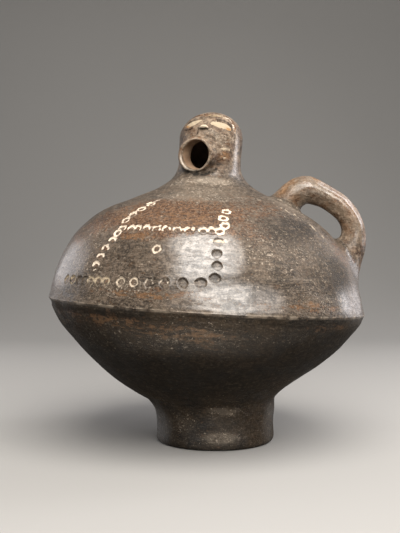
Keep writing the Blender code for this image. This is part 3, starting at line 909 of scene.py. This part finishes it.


# Patches of colour, among them painted shade and painted highlights, as (angle, height, half width in degrees, half
# height, strength)
PATCHES = {
    "rust": (
        (-18, 173, 44, 17, 0.95), (-51, 171, 12, 10, 0.9), (-25, 157.5, 16, 5.5, 0.6), (25, 183, 26, 12, 0.5),
        (-60, 160, 18, 16, 0.55), (21, 222.5, 22, 5, 1.0), (0, 212, 30, 6, 0.5), (-72, 120, 18, 8, 0.4),
        (150, 165, 40, 18, 0.6), (-140, 140, 30, 14, 0.55), (110, 120, 26, 8, 0.5), (-44, 98, 30, 7, 0.5),
        (-160, 80, 30, 16, 0.4), (80, 72, 26, 12, 0.35), (16, 160, 14, 10, 0.5), (-20, 118, 26, 6, 0.45),
        (32, 114, 22, 5, 0.45), (70, 152, 16, 14, 0.5), (-40, 232, 40, 16, 0.45), (30, 236, 20, 8, 0.4),
    ),
    "ochre": (
        (-21, 117, 18, 3.6, 0.55), (31, 115.3, 18, 3.4, 0.45), (-26, 156.5, 9, 3, 0.55), (-36, 97, 16, 7, 0.5),
        (22, 223, 16, 4.5, 0.8), (-8, 92, 20, 8, 0.5), (170, 128, 22, 8, 0.45), (-120, 100, 16, 8, 0.5),
        (-50, 246, 9, 1.6, 0.95), (28, 247, 8, 4, 0.45), (-62, 88, 14, 8, 0.4), (-40, 174, 10, 6, 0.45),
        (-10, 170, 16, 8, 0.4), (-24, 235, 20, 8, 0.4), (46, 99, 14, 4, 0.45), (6, 250, 30, 3, 0.35),
    ),
    "pale": (
        (26, 158, 22, 16, 0.4), (34, 142, 28, 16, 0.45), (52, 150, 18, 24, 0.45), (-58, 150, 20, 26, 0.4),
        # The pale patches at heights 202 and 203, round the neck, are a painted highlight
        (0, 190, 50, 9, 0.8), (26, 228.3, 11, 2, 0.95), (-10, 202, 60, 8, 0.7), (2, 203, 34, 3.5, 0.95), (0, 230, 40, 10, 0.5),
        (140, 140, 34, 26, 0.65), (-120, 150, 30, 24, 0.55), (-66, 86, 28, 12, 0.3), (4, 10, 26, 7, 0.9),
        (8, 30, 20, 5, 0.8), (-30, 20, 14, 12, 0.6), (-34, 84, 26, 14, 0.45), (32, 92, 20, 7, 0.4), (-12, 241, 26, 4, 0.8), (6, 239, 20, 4, 0.6),
        (76, 188, 34, 9, 0.8), (-2, 90, 20, 12, 0.7), (-36, 122, 26, 10, 0.5), (60, 178, 20, 10, 0.5),
        (40, 118, 20, 8, 0.5), (30, 236, 40, 8, 0.4),
    ),
    "burnish": (
        (-3, 144, 14, 21, 1.0), (5, 146, 8, 19, 0.5), (8, 117, 20, 12, 1.0), (-62, 135, 18, 20, 0.5),
        (62, 118, 16, 12, 0.6), (-24, 128, 18, 14, 0.35), (160, 130, 40, 20, 0.8), (-140, 122, 30, 16, 0.7),
        (90, 140, 20, 30, 0.4), (-90, 150, 20, 24, 0.35), (45, 222, 20, 22, 0.7), (-10, 205, 30, 9, 0.5),
        (-2, 12, 34, 18, 0.4), (-66, 14, 22, 18, 0.9), (64, 16, 16, 18, 0.4), (66, 118, 20, 20, 0.3), (0, 88, 40, 14, 0.25),
    ),
    "dark_and_shade": (
        # The dark patches at heights 101.5 and 102, under the belly's edge, and at heights 56 to 80, over the bowl,
        # are painted shade
        (-40, 101.5, 34, 2.6, 0.8), (32, 102, 24, 2.0, 0.7), (-20, 56, 80, 20, 0.8), (54, 80, 40, 26, 0.85),
        (-60, 80, 34, 20, 0.8), (47, 170, 9, 6, 0.45), (-53, 172, 6, 6, 0.4), (0, 66, 60, 14, 0.6),
        (34, 168, 20, 12, 0.45), (50, 136, 18, 16, 0.6), (40, 158, 16, 14, 0.35), (24, 188, 26, 8, 0.35), (-72, 168, 20, 20, 0.35),
        (-30, 146, 10, 8, 0.15), (150, 150, 30, 16, 0.4), (-150, 110, 26, 14, 0.4), (57, 140, 8, 12, 0.3), (-60, 20, 18, 14, 0.1),
        (-74, 236, 24, 20, 0.5), (84, 232, 20, 22, 0.45), (26, 219.6, 16, 1.4, 0.7), (8, 216.5, 22, 1.6, 0.7),
        (12, 224, 7, 3, 0.35),
    ),
}


def paint_patches(angle, height, masks):
    """Adds the patches of colour: 1 - ease(0.4, 1.2) of the distance from each middle in its half sizes."""
    for name, patches in PATCHES.items():
        for a, h, across, up, strength in patches:
            away = np.abs((angle - a + 180) % 360 - 180)
            q = np.hypot(away / across, (height - h) / up)
            masks[name] += strength * (1 - ease(0.4, 1.2, q)) * (1 - np.minimum(masks[name], 1))


# Turn round the handle, from its outer side towards its front, where the potter's thumb left a ridge
HANDLE_RIDGE = math.radians(78)

# Where a painted highlight and gloss lie on the handle's lower joint, in front
JOINT_HIGHLIGHT = (101, -24, 147)


def relief(points):
    """How far each point is pushed out along its normal, and the masks of colour.

    The push is a sum of waves left by the potter's hands, the tucked and worn belly edge, and the
    carving. It fades out on the resting ring and inside the hollow.
    """
    out, near = against(EVEN_OUTLINE, points)
    arc = EVEN_ARC[near] - LIP_ARC
    true = unlean(points)
    angle = np.degrees(np.arctan2(true[:, 0], -true[:, 1]))
    height = true[:, 2]
    reach = along_axis(points, BORE_END, BORE_FORWARD)[0]
    in_bore = ease(-0.9, -0.3, into_bore(points)) * (1 - ease(-1.6, -0.8, reach)) * (reach > -THROAT_DEPTH)
    inside = np.maximum(1 - ease(-4.5, -2.5, out), in_bore)
    recess = (near < np.searchsorted(EVEN_ARC, STOPS[1])) & (out > -4)
    off_handle, turn = round_handle(points)
    handle = 1 - ease(0.5, 3.5, off_handle)
    handle = np.where(points[:, 0] > 30, handle, 0) * ease(1.5, 4, out)
    masks = {name: np.zeros(len(points)) for name in MASKS}
    paint_patches(angle, height, masks)

    hands = 0.55 * waves(points, 55, 3) + 0.28 * waves(points, 24, 4)
    hands += 0.12 * waves(points, 22, 5, squeeze=(0.45, 0.45, 1.7))
    hands += 0.05 * waves(points, 7, 6, squeeze=(0.6, 0.6, 1.3))
    hands += 0.3 * waves(points, 28, 8) * (arc < -6) + 0.22 * waves(points, 13, 9) * handle
    hands -= (0.52 + 0.15 * waves(points, 26, 10)) * np.cos(4 * (turn - HANDLE_RIDGE) + math.pi) * handle
    above = ease(222, 232, height)
    hands *= (1 - 0.6 * above) * (1 - 0.45 * np.minimum(masks["burnish"], 1))
    push = hands - 0.62 + 0.3 * above
    worn = waves(points, 9, 12)
    push -= 0.9 * np.exp(-((arc + 3.4) / 2.2) ** 2) * (0.6 + 0.4 * waves(points, 40, 11))
    push -= 0.45 * np.exp(-(arc / 1.3) ** 2) * np.maximum(worn, 0)
    push += 0.22 * np.exp(-((arc - 2.2) / 1.6) ** 2)
    rings = carve_rings(points, masks)
    push += rings + carve_face(points, masks) + carve_marks(points, masks)
    push *= (1 - inside) * ease(0.2, 4, height + 100 * recess)
    push = np.where(recess, 0, push)

    masks["burnish"] *= 1 - 0.75 * np.clip(-rings / 0.4, 0, 1)
    masks["handle"] = handle
    masks["below"] = 1 - ease(-2.5, -0.5, arc)
    masks["edge"] = np.exp(-(arc / 1.1) ** 2) * ease(-0.2, 0.6, worn)
    masks["head"] = ease(205, 222, height)
    for name in ("rust", "ochre", "pale", "burnish"):
        masks[name] *= 1 - handle
    bend = np.exp(-((points[:, 0] - 87) / 11) ** 2 - ((points[:, 2] - 198) / 6) ** 2)
    patchy = ease(-0.5, 0.7, waves(points, 15, 14)) * (0.3 + 0.7 * ease(70, 88, points[:, 0]))
    masks["burnish"] += handle * (0.75 * patchy + 0.8 * bend)
    # Painted highlight: pale colour on the top of the handle's bend
    masks["pale"] += 0.65 * handle * bend
    # Painted highlight: pale colour with gloss on the front of the handle's lower joint
    painted_highlight = np.exp(-(((points - JOINT_HIGHLIGHT) / (8, 10, 8)) ** 2).sum(axis=1))
    masks["pale"] = np.maximum(masks["pale"], 0.85 * painted_highlight)
    masks["burnish"] += 0.9 * painted_highlight
    masks["rust"] += 0.55 * handle * ease(0.0, 0.6, waves(points, 11, 16))
    masks["ochre"] += handle * 0.95 * (1 - ease(0.5, 1.2, np.abs(turn))) * ease(-0.8, 0.5, waves(points, 18, 15))
    masks["dark_and_shade"] = np.maximum(masks["dark_and_shade"], 0.62 * handle * (1 - ease(152, 176, points[:, 2])))
    # Painted shade in the crease where the handle joins the body
    joint = np.abs(from_body(points)) + np.abs(off_handle) + 1.5 * worn
    masks["dark_and_shade"] = np.maximum(masks["dark_and_shade"], 0.55 * (1 - ease(1, 6, joint)) * (points[:, 0] > 30))
    lip = np.abs(into_bore(points)) + np.abs(from_collar(points))
    beside = (1 - ease(0.5, 1.5, np.abs(from_collar(points)))) * (1 - in_bore)
    masks["dark_and_shade"] = np.maximum(masks["dark_and_shade"], 0.35 * beside * ease(2.5, 5, lip))
    # Painted highlight: a pale line, with gloss, along the crest of the mouth's lip
    lip = (1 - ease(0.6, 2.4, lip)) * ease(-0.9, 0.4, worn)
    masks["edge"] = np.maximum(masks["edge"], lip)
    masks["burnish"] += 0.8 * lip
    masks["inside"] = np.maximum(inside, recess)
    strokes = np.stack([points[:, 0] * 0.22, points[:, 1] * 0.22, np.where(handle > 0.5, height, arc)], axis=1)
    return push, masks, strokes


MASKS = ("paste", "yellow", "stain", "rust", "ochre", "pale", "burnish", "dark_and_shade", "handle", "below", "edge", "head",
         "inside")
EVEN_OUTLINE = evenly(OUTLINE, 0.8)
EVEN_ARC = np.linspace(0, ARC[-1], len(EVEN_OUTLINE))
CLEARANCE = 0.01


def make_vessel():
    """The whole jar as one mesh."""
    body = new_object("clay_vessel", *body_mesh())
    tools = [("UNION", new_object("handle", *handle_mesh())),
             ("UNION", new_object("collar", *collar_mesh())),
             ("DIFFERENCE", new_object("hollow", *hollow_mesh())),
             ("DIFFERENCE", new_object("throat", *throat_mesh()))]
    mesh = joined(body, tools)
    smear(mesh)
    points, normals = points_of(mesh), normals_of(mesh)
    push, masks, strokes = relief(points)
    low, high = (np.array(corner) / MM for corner in cad_box)
    put_points(mesh, np.clip(points + normals * push[:, None], low + CLEARANCE, high - CLEARANCE))
    for name, values in masks.items():
        mesh.attributes.new(name, "FLOAT", "POINT").data.foreach_set("value", values.astype(np.float32))
    lines = mesh.attributes.new("strokes", "FLOAT_VECTOR", "POINT")
    lines.data.foreach_set("vector", (strokes * MM).astype(np.float32).ravel())
    mesh.materials.clear()
    mesh.shade_smooth()
    item = bpy.data.objects.new("clay_vessel", mesh)
    bpy.context.scene.collection.objects.link(item)
    return item, masks["inside"]


def add(tree, kind, values=(), **settings):
    """A node with its settings, where each value is a number, a colour or another node's socket."""
    node = tree.nodes.new(kind)
    for name, value in settings.items():
        setattr(node, name, value)
    for key, value in dict(values).items():
        if isinstance(value, bpy.types.NodeSocket):
            tree.links.new(value, node.inputs[key])
        else:
            node.inputs[key].default_value = value
    return node


def calc(tree, operation, first, second, clamp=False):
    """Sum, product and so on of two values."""
    return add(tree, "ShaderNodeMath", {0: first, 1: second}, operation=operation, use_clamp=clamp).outputs[0]


def between(tree, value, low, high, to_low=0.0, to_high=1.0):
    """A value taken smoothly from one range to another, and held at its ends."""
    node = add(tree, "ShaderNodeMapRange", {"Value": value, "From Min": low, "From Max": high,
                                            "To Min": to_low, "To Max": to_high})
    node.interpolation_type = "SMOOTHSTEP"
    return node.outputs["Result"]


def blend(tree, share, first, second):
    """A mix of two colours."""
    node = add(tree, "ShaderNodeMix", {0: share, 6: first, 7: second}, data_type="RGBA")
    return node.outputs[2]


def mask_of(tree, name):
    """One of the mesh's masks."""
    return add(tree, "ShaderNodeAttribute", attribute_name=name).outputs["Fac"]


def new_group(name, inputs, outputs):
    """An empty node group with named sockets, and its two ends."""
    group = bpy.data.node_groups.new(name, "ShaderNodeTree")
    for side, sockets in (("INPUT", inputs), ("OUTPUT", outputs)):
        for label, kind in sockets.items():
            group.interface.new_socket(label, in_out=side, socket_type="NodeSocket" + kind)
    return group, group.nodes.new("NodeGroupInput"), group.nodes.new("NodeGroupOutput")


def cloud_group():
    """Soft cloudy mask: noise of a size in metres, sharpened between two levels."""
    group, given, result = new_group("clay clouds", {"Vector": "Vector", "Size": "Float", "Low": "Float",
                                                     "High": "Float"}, {"Mask": "Float"})
    scale = calc(group, "DIVIDE", 1.0, given.outputs["Size"])
    noise = add(group, "ShaderNodeTexNoise", {"Vector": given.outputs["Vector"], "Scale": scale, "Detail": 5.0,
                                              "Roughness": 0.62})
    mask = between(group, noise.outputs["Fac"], given.outputs["Low"], given.outputs["High"])
    group.links.new(mask, result.inputs["Mask"])
    return group


def speck_group():
    """Small uneven specks: cells of a size in metres, of which an amount from nought to one hold a speck."""
    group, given, result = new_group("specks", {"Vector": "Vector", "Size": "Float", "Amount": "Float"},
                                     {"Mask": "Float"})
    scale = calc(group, "DIVIDE", 1.0, given.outputs["Size"])
    cells = add(group, "ShaderNodeTexVoronoi", {"Vector": given.outputs["Vector"], "Scale": scale})
    chance = add(group, "ShaderNodeSeparateColor", {"Color": cells.outputs["Color"]})
    double = calc(group, "MULTIPLY", scale, 2.3)
    edge = add(group, "ShaderNodeTexNoise", {"Vector": given.outputs["Vector"], "Scale": double, "Detail": 2.0})
    reach = calc(group, "MULTIPLY", chance.outputs["Green"], edge.outputs["Fac"])
    inside = between(group, calc(group, "SUBTRACT", reach, cells.outputs["Distance"]), -0.12, 0.08)
    there = between(group, calc(group, "SUBTRACT", given.outputs["Amount"], chance.outputs["Red"]), -0.05, 0.05)
    group.links.new(calc(group, "MULTIPLY", inside, there), result.inputs["Mask"])
    return group


def fleck_group():
    """Ragged flecks of dust: fine noise of a size in metres above a level that falls with their amount."""
    group, given, result = new_group("dust flecks", {"Vector": "Vector", "Size": "Float", "Amount": "Float"},
                                     {"Mask": "Float"})
    scale = calc(group, "DIVIDE", 1.0, given.outputs["Size"])
    noise = add(group, "ShaderNodeTexNoise", {"Vector": given.outputs["Vector"], "Scale": scale, "Detail": 4.0,
                                              "Roughness": 0.75})
    level = calc(group, "SUBTRACT", 0.67, calc(group, "MULTIPLY", given.outputs["Amount"], 0.11))
    above = calc(group, "SUBTRACT", noise.outputs["Fac"], level)
    group.links.new(between(group, above, -0.01, 0.05), result.inputs["Mask"])
    return group


def stroke_group():
    """Marks of the burnishing pebble: noise drawn out along the strokes, in two sizes."""
    group, given, result = new_group("burnishing strokes", {"Vector": "Vector", "Width": "Float"},
                                     {"Value": "Float"})
    scale = calc(group, "DIVIDE", 1.0, given.outputs["Width"])
    coarse = add(group, "ShaderNodeTexNoise", {"Vector": given.outputs["Vector"], "Scale": scale, "Detail": 2.0})
    fine_scale = calc(group, "MULTIPLY", scale, 3.3)
    fine = add(group, "ShaderNodeTexNoise", {"Vector": given.outputs["Vector"], "Scale": fine_scale, "Detail": 3.0})
    total = calc(group, "ADD", calc(group, "MULTIPLY", coarse.outputs["Fac"], 0.6),
                 calc(group, "MULTIPLY", fine.outputs["Fac"], 0.4))
    group.links.new(total, result.inputs["Value"])
    return group


CLOUDS, SPECKS, FLECKS, STROKES = cloud_group(), speck_group(), fleck_group(), stroke_group()


def use(tree, group, **values):
    """One of the groups placed in a material, as its only output."""
    node = tree.nodes.new("ShaderNodeGroup")
    node.node_tree = group
    for key, value in values.items():
        if isinstance(value, bpy.types.NodeSocket):
            tree.links.new(value, node.inputs[key])
        else:
            node.inputs[key].default_value = value
    return node.outputs[0]


def colour(red, green, blue):
    """An opaque colour."""
    return (red, green, blue, 1.0)


def clay_patterns(tree):
    """Masks of the masks' own names, and of clouds, grain, streaks, scratches and specks."""
    place = add(tree, "ShaderNodeTexCoord").outputs["Object"]
    lines = add(tree, "ShaderNodeAttribute", attribute_name="strokes").outputs["Vector"]
    has = {name: mask_of(tree, name) for name in MASKS}
    has["clouds"] = use(tree, CLOUDS, Vector=place, Size=0.03, Low=0.41, High=0.59)
    has["blotches"] = use(tree, CLOUDS, Vector=place, Size=0.009, Low=0.41, High=0.59)
    has["grain"] = use(tree, CLOUDS, Vector=place, Size=0.0032, Low=0.41, High=0.59)
    has["fine"] = use(tree, CLOUDS, Vector=place, Size=0.0014, Low=0.42, High=0.58)
    strokes = use(tree, STROKES, Vector=lines, Width=0.0026)
    has["streaks"] = between(tree, strokes, 0.43, 0.57)
    has["scratches"] = between(tree, use(tree, STROKES, Vector=lines, Width=0.0011), 0.58, 0.66)
    dust_and_highlight_amount = calc(tree, "MULTIPLY", has["pale"], calc(tree, "ADD", calc(tree, "MULTIPLY", has["blotches"], 0.5), 0.5))
    thin = calc(tree, "ADD", calc(tree, "MULTIPLY", has["blotches"], 0.2), 0.15)
    smooth_bowl = calc(tree, "SUBTRACT", 1.0, calc(tree, "MULTIPLY", has["below"], 0.9))
    dust_and_highlight_amount = calc(tree, "ADD", dust_and_highlight_amount, calc(tree, "MULTIPLY", thin, smooth_bowl))
    small = use(tree, FLECKS, Vector=place, Size=0.0016, Amount=dust_and_highlight_amount)
    large = use(tree, FLECKS, Vector=place, Size=0.003, Amount=calc(tree, "MULTIPLY", dust_and_highlight_amount, 0.75))
    thick = calc(tree, "MULTIPLY", calc(tree, "POWER", has["pale"], 4.0), 0.4)
    crust_and_highlight = calc(tree, "MULTIPLY", spread(tree, has, "pale"), calc(tree, "ADD", thick, 0.04))
    # Pale dust, flecks and crust; where the pale mask is painted highlight, this same pale colour is that painted
    # highlight
    has["dust"] = calc(tree, "MAXIMUM", calc(tree, "MAXIMUM", small, large), crust_and_highlight)
    has["soot"] = use(tree, SPECKS, Vector=place, Size=0.0019, Amount=0.55)
    return has


def spread(tree, has, name):
    """A painted mask broken up: it covers where it is stronger than grain, streaks and blotches together."""
    level = calc(tree, "ADD", calc(tree, "MULTIPLY", has["grain"], 0.40), calc(tree, "MULTIPLY", has["streaks"], 0.35))
    level = calc(tree, "ADD", level, calc(tree, "MULTIPLY", has["blotches"], 0.25))
    return between(tree, calc(tree, "SUBTRACT", has[name], level), -0.20, 0.34)


def paste_left(tree, has):
    """Where white paste is still in the marks: the mask, worn by the grain."""
    worn = calc(tree, "ADD", calc(tree, "MULTIPLY", has["grain"], -0.45), 1.15)
    worn = calc(tree, "ADD", worn, calc(tree, "MULTIPLY", has["fine"], -0.2))
    return between(tree, calc(tree, "MULTIPLY", has["paste"], worn), 0.22, 0.60)


def ground_colour(tree, has):
    """The fired clay's colour on shoulder, bowl, head and handle; the bowl's is partly painted shade."""
    skin_tone = blend(tree, has["clouds"], colour(0.016, 0.0115, 0.008), colour(0.064, 0.047, 0.033))
    skin_tone = blend(tree, calc(tree, "MULTIPLY", has["streaks"], 0.6), skin_tone, colour(0.120, 0.090, 0.066))
    # Bowl: dark clay, made darker still as painted shade under the belly
    bowl = blend(tree, has["clouds"], colour(0.005, 0.004, 0.003), colour(0.030, 0.021, 0.013))
    bowl = blend(tree, calc(tree, "MULTIPLY", has["blotches"], 0.4), bowl, colour(0.046, 0.033, 0.021))
    result = blend(tree, has["below"], skin_tone, bowl)
    head = blend(tree, has["blotches"], colour(0.115, 0.072, 0.045), colour(0.230, 0.170, 0.120))
    result = blend(tree, calc(tree, "MULTIPLY", has["head"], 0.85), result, head)
    handle = blend(tree, has["blotches"], colour(0.172, 0.104, 0.062), colour(0.232, 0.170, 0.120))
    handle = blend(tree, calc(tree, "MULTIPLY", has["clouds"], 0.45), handle, colour(0.080, 0.066, 0.050))
    result = blend(tree, calc(tree, "MULTIPLY", has["handle"], 0.9), result, handle)
    smooth_handle = calc(tree, "SUBTRACT", 1.0, calc(tree, "MULTIPLY", has["handle"], 0.4))
    dark_grain = calc(tree, "MULTIPLY", calc(tree, "SUBTRACT", 1.0, has["grain"]), 0.6)
    dark_grain = calc(tree, "MULTIPLY", dark_grain, smooth_handle)
    result = blend(tree, dark_grain, result, colour(0.012, 0.009, 0.006))
    light_grain = calc(tree, "MULTIPLY", between(tree, has["fine"], 0.5, 1.0), 0.18)
    light_grain = calc(tree, "MULTIPLY", light_grain, calc(tree, "SUBTRACT", 1.0, calc(tree, "MULTIPLY", has["below"], 0.6)))
    return blend(tree, light_grain, result, colour(0.22, 0.175, 0.13))


def burnished_clay():
    """Dark burnished clay with rust, ochre, pale dusty flecks and white paste in its marks, and painted shade and
    highlights.
    """
    material = bpy.data.materials.new("burnished_clay")
    material.use_nodes = True
    tree = material.node_tree
    shader = tree.nodes["Principled BSDF"]
    has = clay_patterns(tree)
    result = ground_colour(tree, has)
    rust = blend(tree, has["fine"], colour(0.040, 0.018, 0.009), colour(0.140, 0.074, 0.038))
    result = blend(tree, calc(tree, "MULTIPLY", spread(tree, has, "rust"), 0.75), result, rust)
    ochre = blend(tree, has["grain"], colour(0.105, 0.056, 0.027), colour(0.215, 0.122, 0.060))
    result = blend(tree, calc(tree, "MULTIPLY", spread(tree, has, "ochre"), 0.8), result, ochre)
    soot = calc(tree, "MULTIPLY", has["soot"], calc(tree, "SUBTRACT", 0.55, calc(tree, "MULTIPLY", has["handle"], 0.35)))
    result = blend(tree, soot, result, colour(0.014, 0.010, 0.007))
    worn = calc(tree, "MULTIPLY", has["scratches"], calc(tree, "ADD", calc(tree, "MULTIPLY", has["pale"], 0.35), 0.35))
    result = blend(tree, worn, result, colour(0.20, 0.165, 0.130))
    # Pale dust, and the painted highlights on the neck, the handle, the ridge and the ledge
    result = blend(tree, calc(tree, "MULTIPLY", has["dust"], 0.85), result, colour(0.300, 0.252, 0.200))
    # Pale line along the belly's edge, and the painted highlight along the mouth's lip
    result = blend(tree, calc(tree, "MULTIPLY", has["edge"], 0.7), result, colour(0.34, 0.28, 0.215))
    paste = paste_left(tree, has)
    paste_tone = blend(tree, has["yellow"], colour(0.600, 0.510, 0.415), colour(0.225, 0.176, 0.106))
    stain = calc(tree, "MULTIPLY", has["stain"], calc(tree, "ADD", calc(tree, "MULTIPLY", has["grain"], 0.4), 0.55))
    paste_tone = blend(tree, stain, paste_tone, colour(0.26, 0.12, 0.03))
    result = blend(tree, paste, result, paste_tone)
    # Dark marks, and painted shade in creases, under edges, in hollows and on the bowl
    dark_and_shade_cover = calc(tree, "ADD", calc(tree, "MULTIPLY", has["grain"], -0.45), 1.05)
    result = blend(tree, calc(tree, "MULTIPLY", has["dark_and_shade"], dark_and_shade_cover, True), result, colour(0.008, 0.006, 0.004))
    tree.links.new(result, shader.inputs["Base Color"])

    dull = calc(tree, "ADD", calc(tree, "MULTIPLY", has["grain"], 0.10), calc(tree, "MULTIPLY", has["streaks"], 0.08))
    dull = calc(tree, "ADD", dull, calc(tree, "MULTIPLY", has["burnish"], -0.08))
    dull = calc(tree, "ADD", dull, calc(tree, "MULTIPLY", has["dust"], 0.2))
    dull = calc(tree, "ADD", dull, calc(tree, "MULTIPLY", paste, 0.3))
    matt = calc(tree, "ADD", calc(tree, "MULTIPLY", has["clouds"], 0.3), 0.15)
    dull = calc(tree, "ADD", dull, calc(tree, "MULTIPLY", has["below"], matt))
    dull = calc(tree, "ADD", dull, calc(tree, "MULTIPLY", has["dark_and_shade"], 0.3))
    tree.links.new(calc(tree, "ADD", dull, 0.36, True), shader.inputs["Roughness"])
    shader.inputs["Specular IOR Level"].default_value = 0.16

    shine = calc(tree, "ADD", calc(tree, "MULTIPLY", has["streaks"], 0.35), calc(tree, "MULTIPLY", has["grain"], 0.3))
    shine = calc(tree, "ADD", shine, 0.5)
    shine = calc(tree, "MULTIPLY", shine, has["burnish"])
    cover = calc(tree, "MAXIMUM", calc(tree, "MULTIPLY", has["dust"], 0.6), calc(tree, "MULTIPLY", has["dark_and_shade"], 1.2))
    bare = calc(tree, "SUBTRACT", 1.0, calc(tree, "MAXIMUM", paste, cover), True)
    tree.links.new(calc(tree, "MULTIPLY", shine, bare), shader.inputs["Coat Weight"])
    shader.inputs["Coat Roughness"].default_value = 0.21
    shader.inputs["Coat IOR"].default_value = 1.75

    height = calc(tree, "ADD", calc(tree, "MULTIPLY", has["streaks"], 0.5), calc(tree, "MULTIPLY", has["grain"], 0.4))
    height = calc(tree, "ADD", height, calc(tree, "MULTIPLY", has["fine"], 0.2))
    height = calc(tree, "ADD", height, calc(tree, "MULTIPLY", has["dust"], 0.25))
    bump = add(tree, "ShaderNodeBump", {"Height": height, "Strength": 0.6, "Distance": 0.0005})
    tree.links.new(bump.outputs["Normal"], shader.inputs["Normal"])
    return material


def bare_clay():
    """Unburnished clay inside the spout and under the foot."""
    material = bpy.data.materials.new("bare_clay")
    material.use_nodes = True
    tree = material.node_tree
    shader = tree.nodes["Principled BSDF"]
    place = add(tree, "ShaderNodeTexCoord").outputs["Object"]
    clouds = use(tree, CLOUDS, Vector=place, Size=0.012, Low=0.35, High=0.66)
    specks = use(tree, SPECKS, Vector=place, Size=0.002, Amount=0.5)
    result = blend(tree, clouds, colour(0.135, 0.080, 0.046), colour(0.215, 0.142, 0.088))
    result = blend(tree, calc(tree, "MULTIPLY", specks, 0.35), result, colour(0.19, 0.145, 0.10))
    tree.links.new(result, shader.inputs["Base Color"])
    tree.links.new(calc(tree, "ADD", calc(tree, "MULTIPLY", clouds, 0.12), 0.66), shader.inputs["Roughness"])
    height = calc(tree, "ADD", clouds, specks)
    bump = add(tree, "ShaderNodeBump", {"Height": height, "Strength": 0.5, "Distance": 0.0005})
    tree.links.new(bump.outputs["Normal"], shader.inputs["Normal"])
    return material


def plain(name, shade, roughness):
    """A plain matt surface for the stage."""
    material = bpy.data.materials.new(name)
    material.use_nodes = True
    shader = material.node_tree.nodes["Principled BSDF"]
    shader.inputs["Base Color"].default_value = colour(*shade)
    shader.inputs["Roughness"].default_value = roughness
    return material


def finish_vessel():
    """Makes the jar, gives its faces the two clays, and rides it on the body."""
    vessel, inside = make_vessel()
    mesh = vessel.data
    mesh.materials.append(burnished_clay())
    mesh.materials.append(bare_clay())
    corners = np.empty(len(mesh.loops), np.int32)
    mesh.loops.foreach_get("vertex_index", corners)
    starts = np.empty(len(mesh.polygons), np.int32)
    mesh.polygons.foreach_get("loop_start", starts)
    shares = np.add.reduceat(inside[corners], starts) / np.diff(np.r_[starts, len(corners)])
    mesh.polygons.foreach_set("material_index", (shares > 0.5).astype(np.int32))
    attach(vessel, "root")
    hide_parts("vessel")
    return vessel


CAMERA_PLACE = (-6.93, -640, 139.3)
CAMERA_LENS = 54.03
CAMERA_PITCH = -0.16


def make_camera():
    """Camera at the photograph's place and angle."""
    data = bpy.data.cameras.new("camera")
    data.lens = CAMERA_LENS
    data.sensor_width = 36
    camera = bpy.data.objects.new("camera", data)
    camera.location = Vector(CAMERA_PLACE) * MM
    camera.rotation_euler = (math.radians(90 + CAMERA_PITCH), 0, 0)
    bpy.context.scene.collection.objects.link(camera)
    bpy.context.scene.camera = camera


# Panels of light: name, turn from the front, height of their middle, distance, width and height in
# metres, power in watts, and colour
PANELS = (
    ("key", 8, 50, 1.0, 0.85, 1.2, 31.5, (1.0, 0.95, 0.89)),
    ("key_right", 44, 40, 1.0, 0.36, 0.9, 4.8, (1.0, 0.95, 0.9)),
    ("left_side", -122, 14, 1.0, 0.6, 0.8, 4.0, (1.0, 0.96, 0.97)),
    ("right_strip", 109, 26, 1.0, 0.3, 1.0, 5.5, (1.0, 0.97, 0.98)),
    ("right_rim", 128, 20, 1.0, 0.5, 0.8, 2.1, (1.0, 0.96, 0.99)),
    ("top_back", 172, 60, 1.4, 1.7, 1.2, 3.2, (1.0, 0.97, 0.94)),
)
AIM = Vector((0, 0, 0.13))


def make_lights():
    """Soft panels, each at an angle round the jar and above the level, facing its middle."""
    for name, turn, rise, distance, width, height, power, tint in PANELS:
        light = bpy.data.lights.new(name, "AREA")
        light.shape = "RECTANGLE"
        light.size, light.size_y = width, height
        light.energy = power
        light.color = tint
        lamp = bpy.data.objects.new(name, light)
        a, b = math.radians(turn), math.radians(rise)
        way = Vector((math.sin(a) * math.cos(b), -math.cos(a) * math.cos(b), math.sin(b)))
        lamp.location = AIM + way * distance
        lamp.rotation_euler = way.to_track_quat("Z", "Y").to_euler()
        bpy.context.scene.collection.objects.link(lamp)
    world = bpy.data.worlds.new("room")
    world.use_nodes = True
    world.node_tree.nodes["Background"].inputs["Color"].default_value = colour(0.9, 0.93, 1.0)
    world.node_tree.nodes["Background"].inputs["Strength"].default_value = ROOM_LIGHT
    bpy.context.scene.world = world
    bpy.context.scene.view_settings.view_transform = "Standard"


ROOM_LIGHT = 0.12


def make_stage():
    """A pale floor that curves up into a backdrop: a profile of two straights and a quarter circle."""
    half, reach, rise, bend = 3.0, 1.6, 2.6, 0.8
    turn = np.linspace(0, math.pi / 2, 25)
    profile = np.vstack([[(-3.0, 0.0)], np.stack([reach - bend + bend * np.sin(turn), bend - bend * np.cos(turn)],
                                                 axis=1), [(reach, rise)]])
    points = np.array([(x, y, z) for y, z in profile for x in (-half, half)])
    i = np.arange(len(profile) - 1) * 2
    faces = np.stack([i, i + 1, i + 3, i + 2], axis=1)
    mesh = bpy.data.meshes.new("floor")
    mesh.from_pydata(points.tolist(), [], faces.tolist())
    mesh.materials.append(plain("pale_floor", (0.26, 0.256, 0.248), 0.85))
    mesh.shade_smooth()
    floor = bpy.data.objects.new("floor", mesh)
    bpy.context.scene.collection.objects.link(floor)


make_camera()
vessel = finish_vessel()
make_lights()
make_stage()
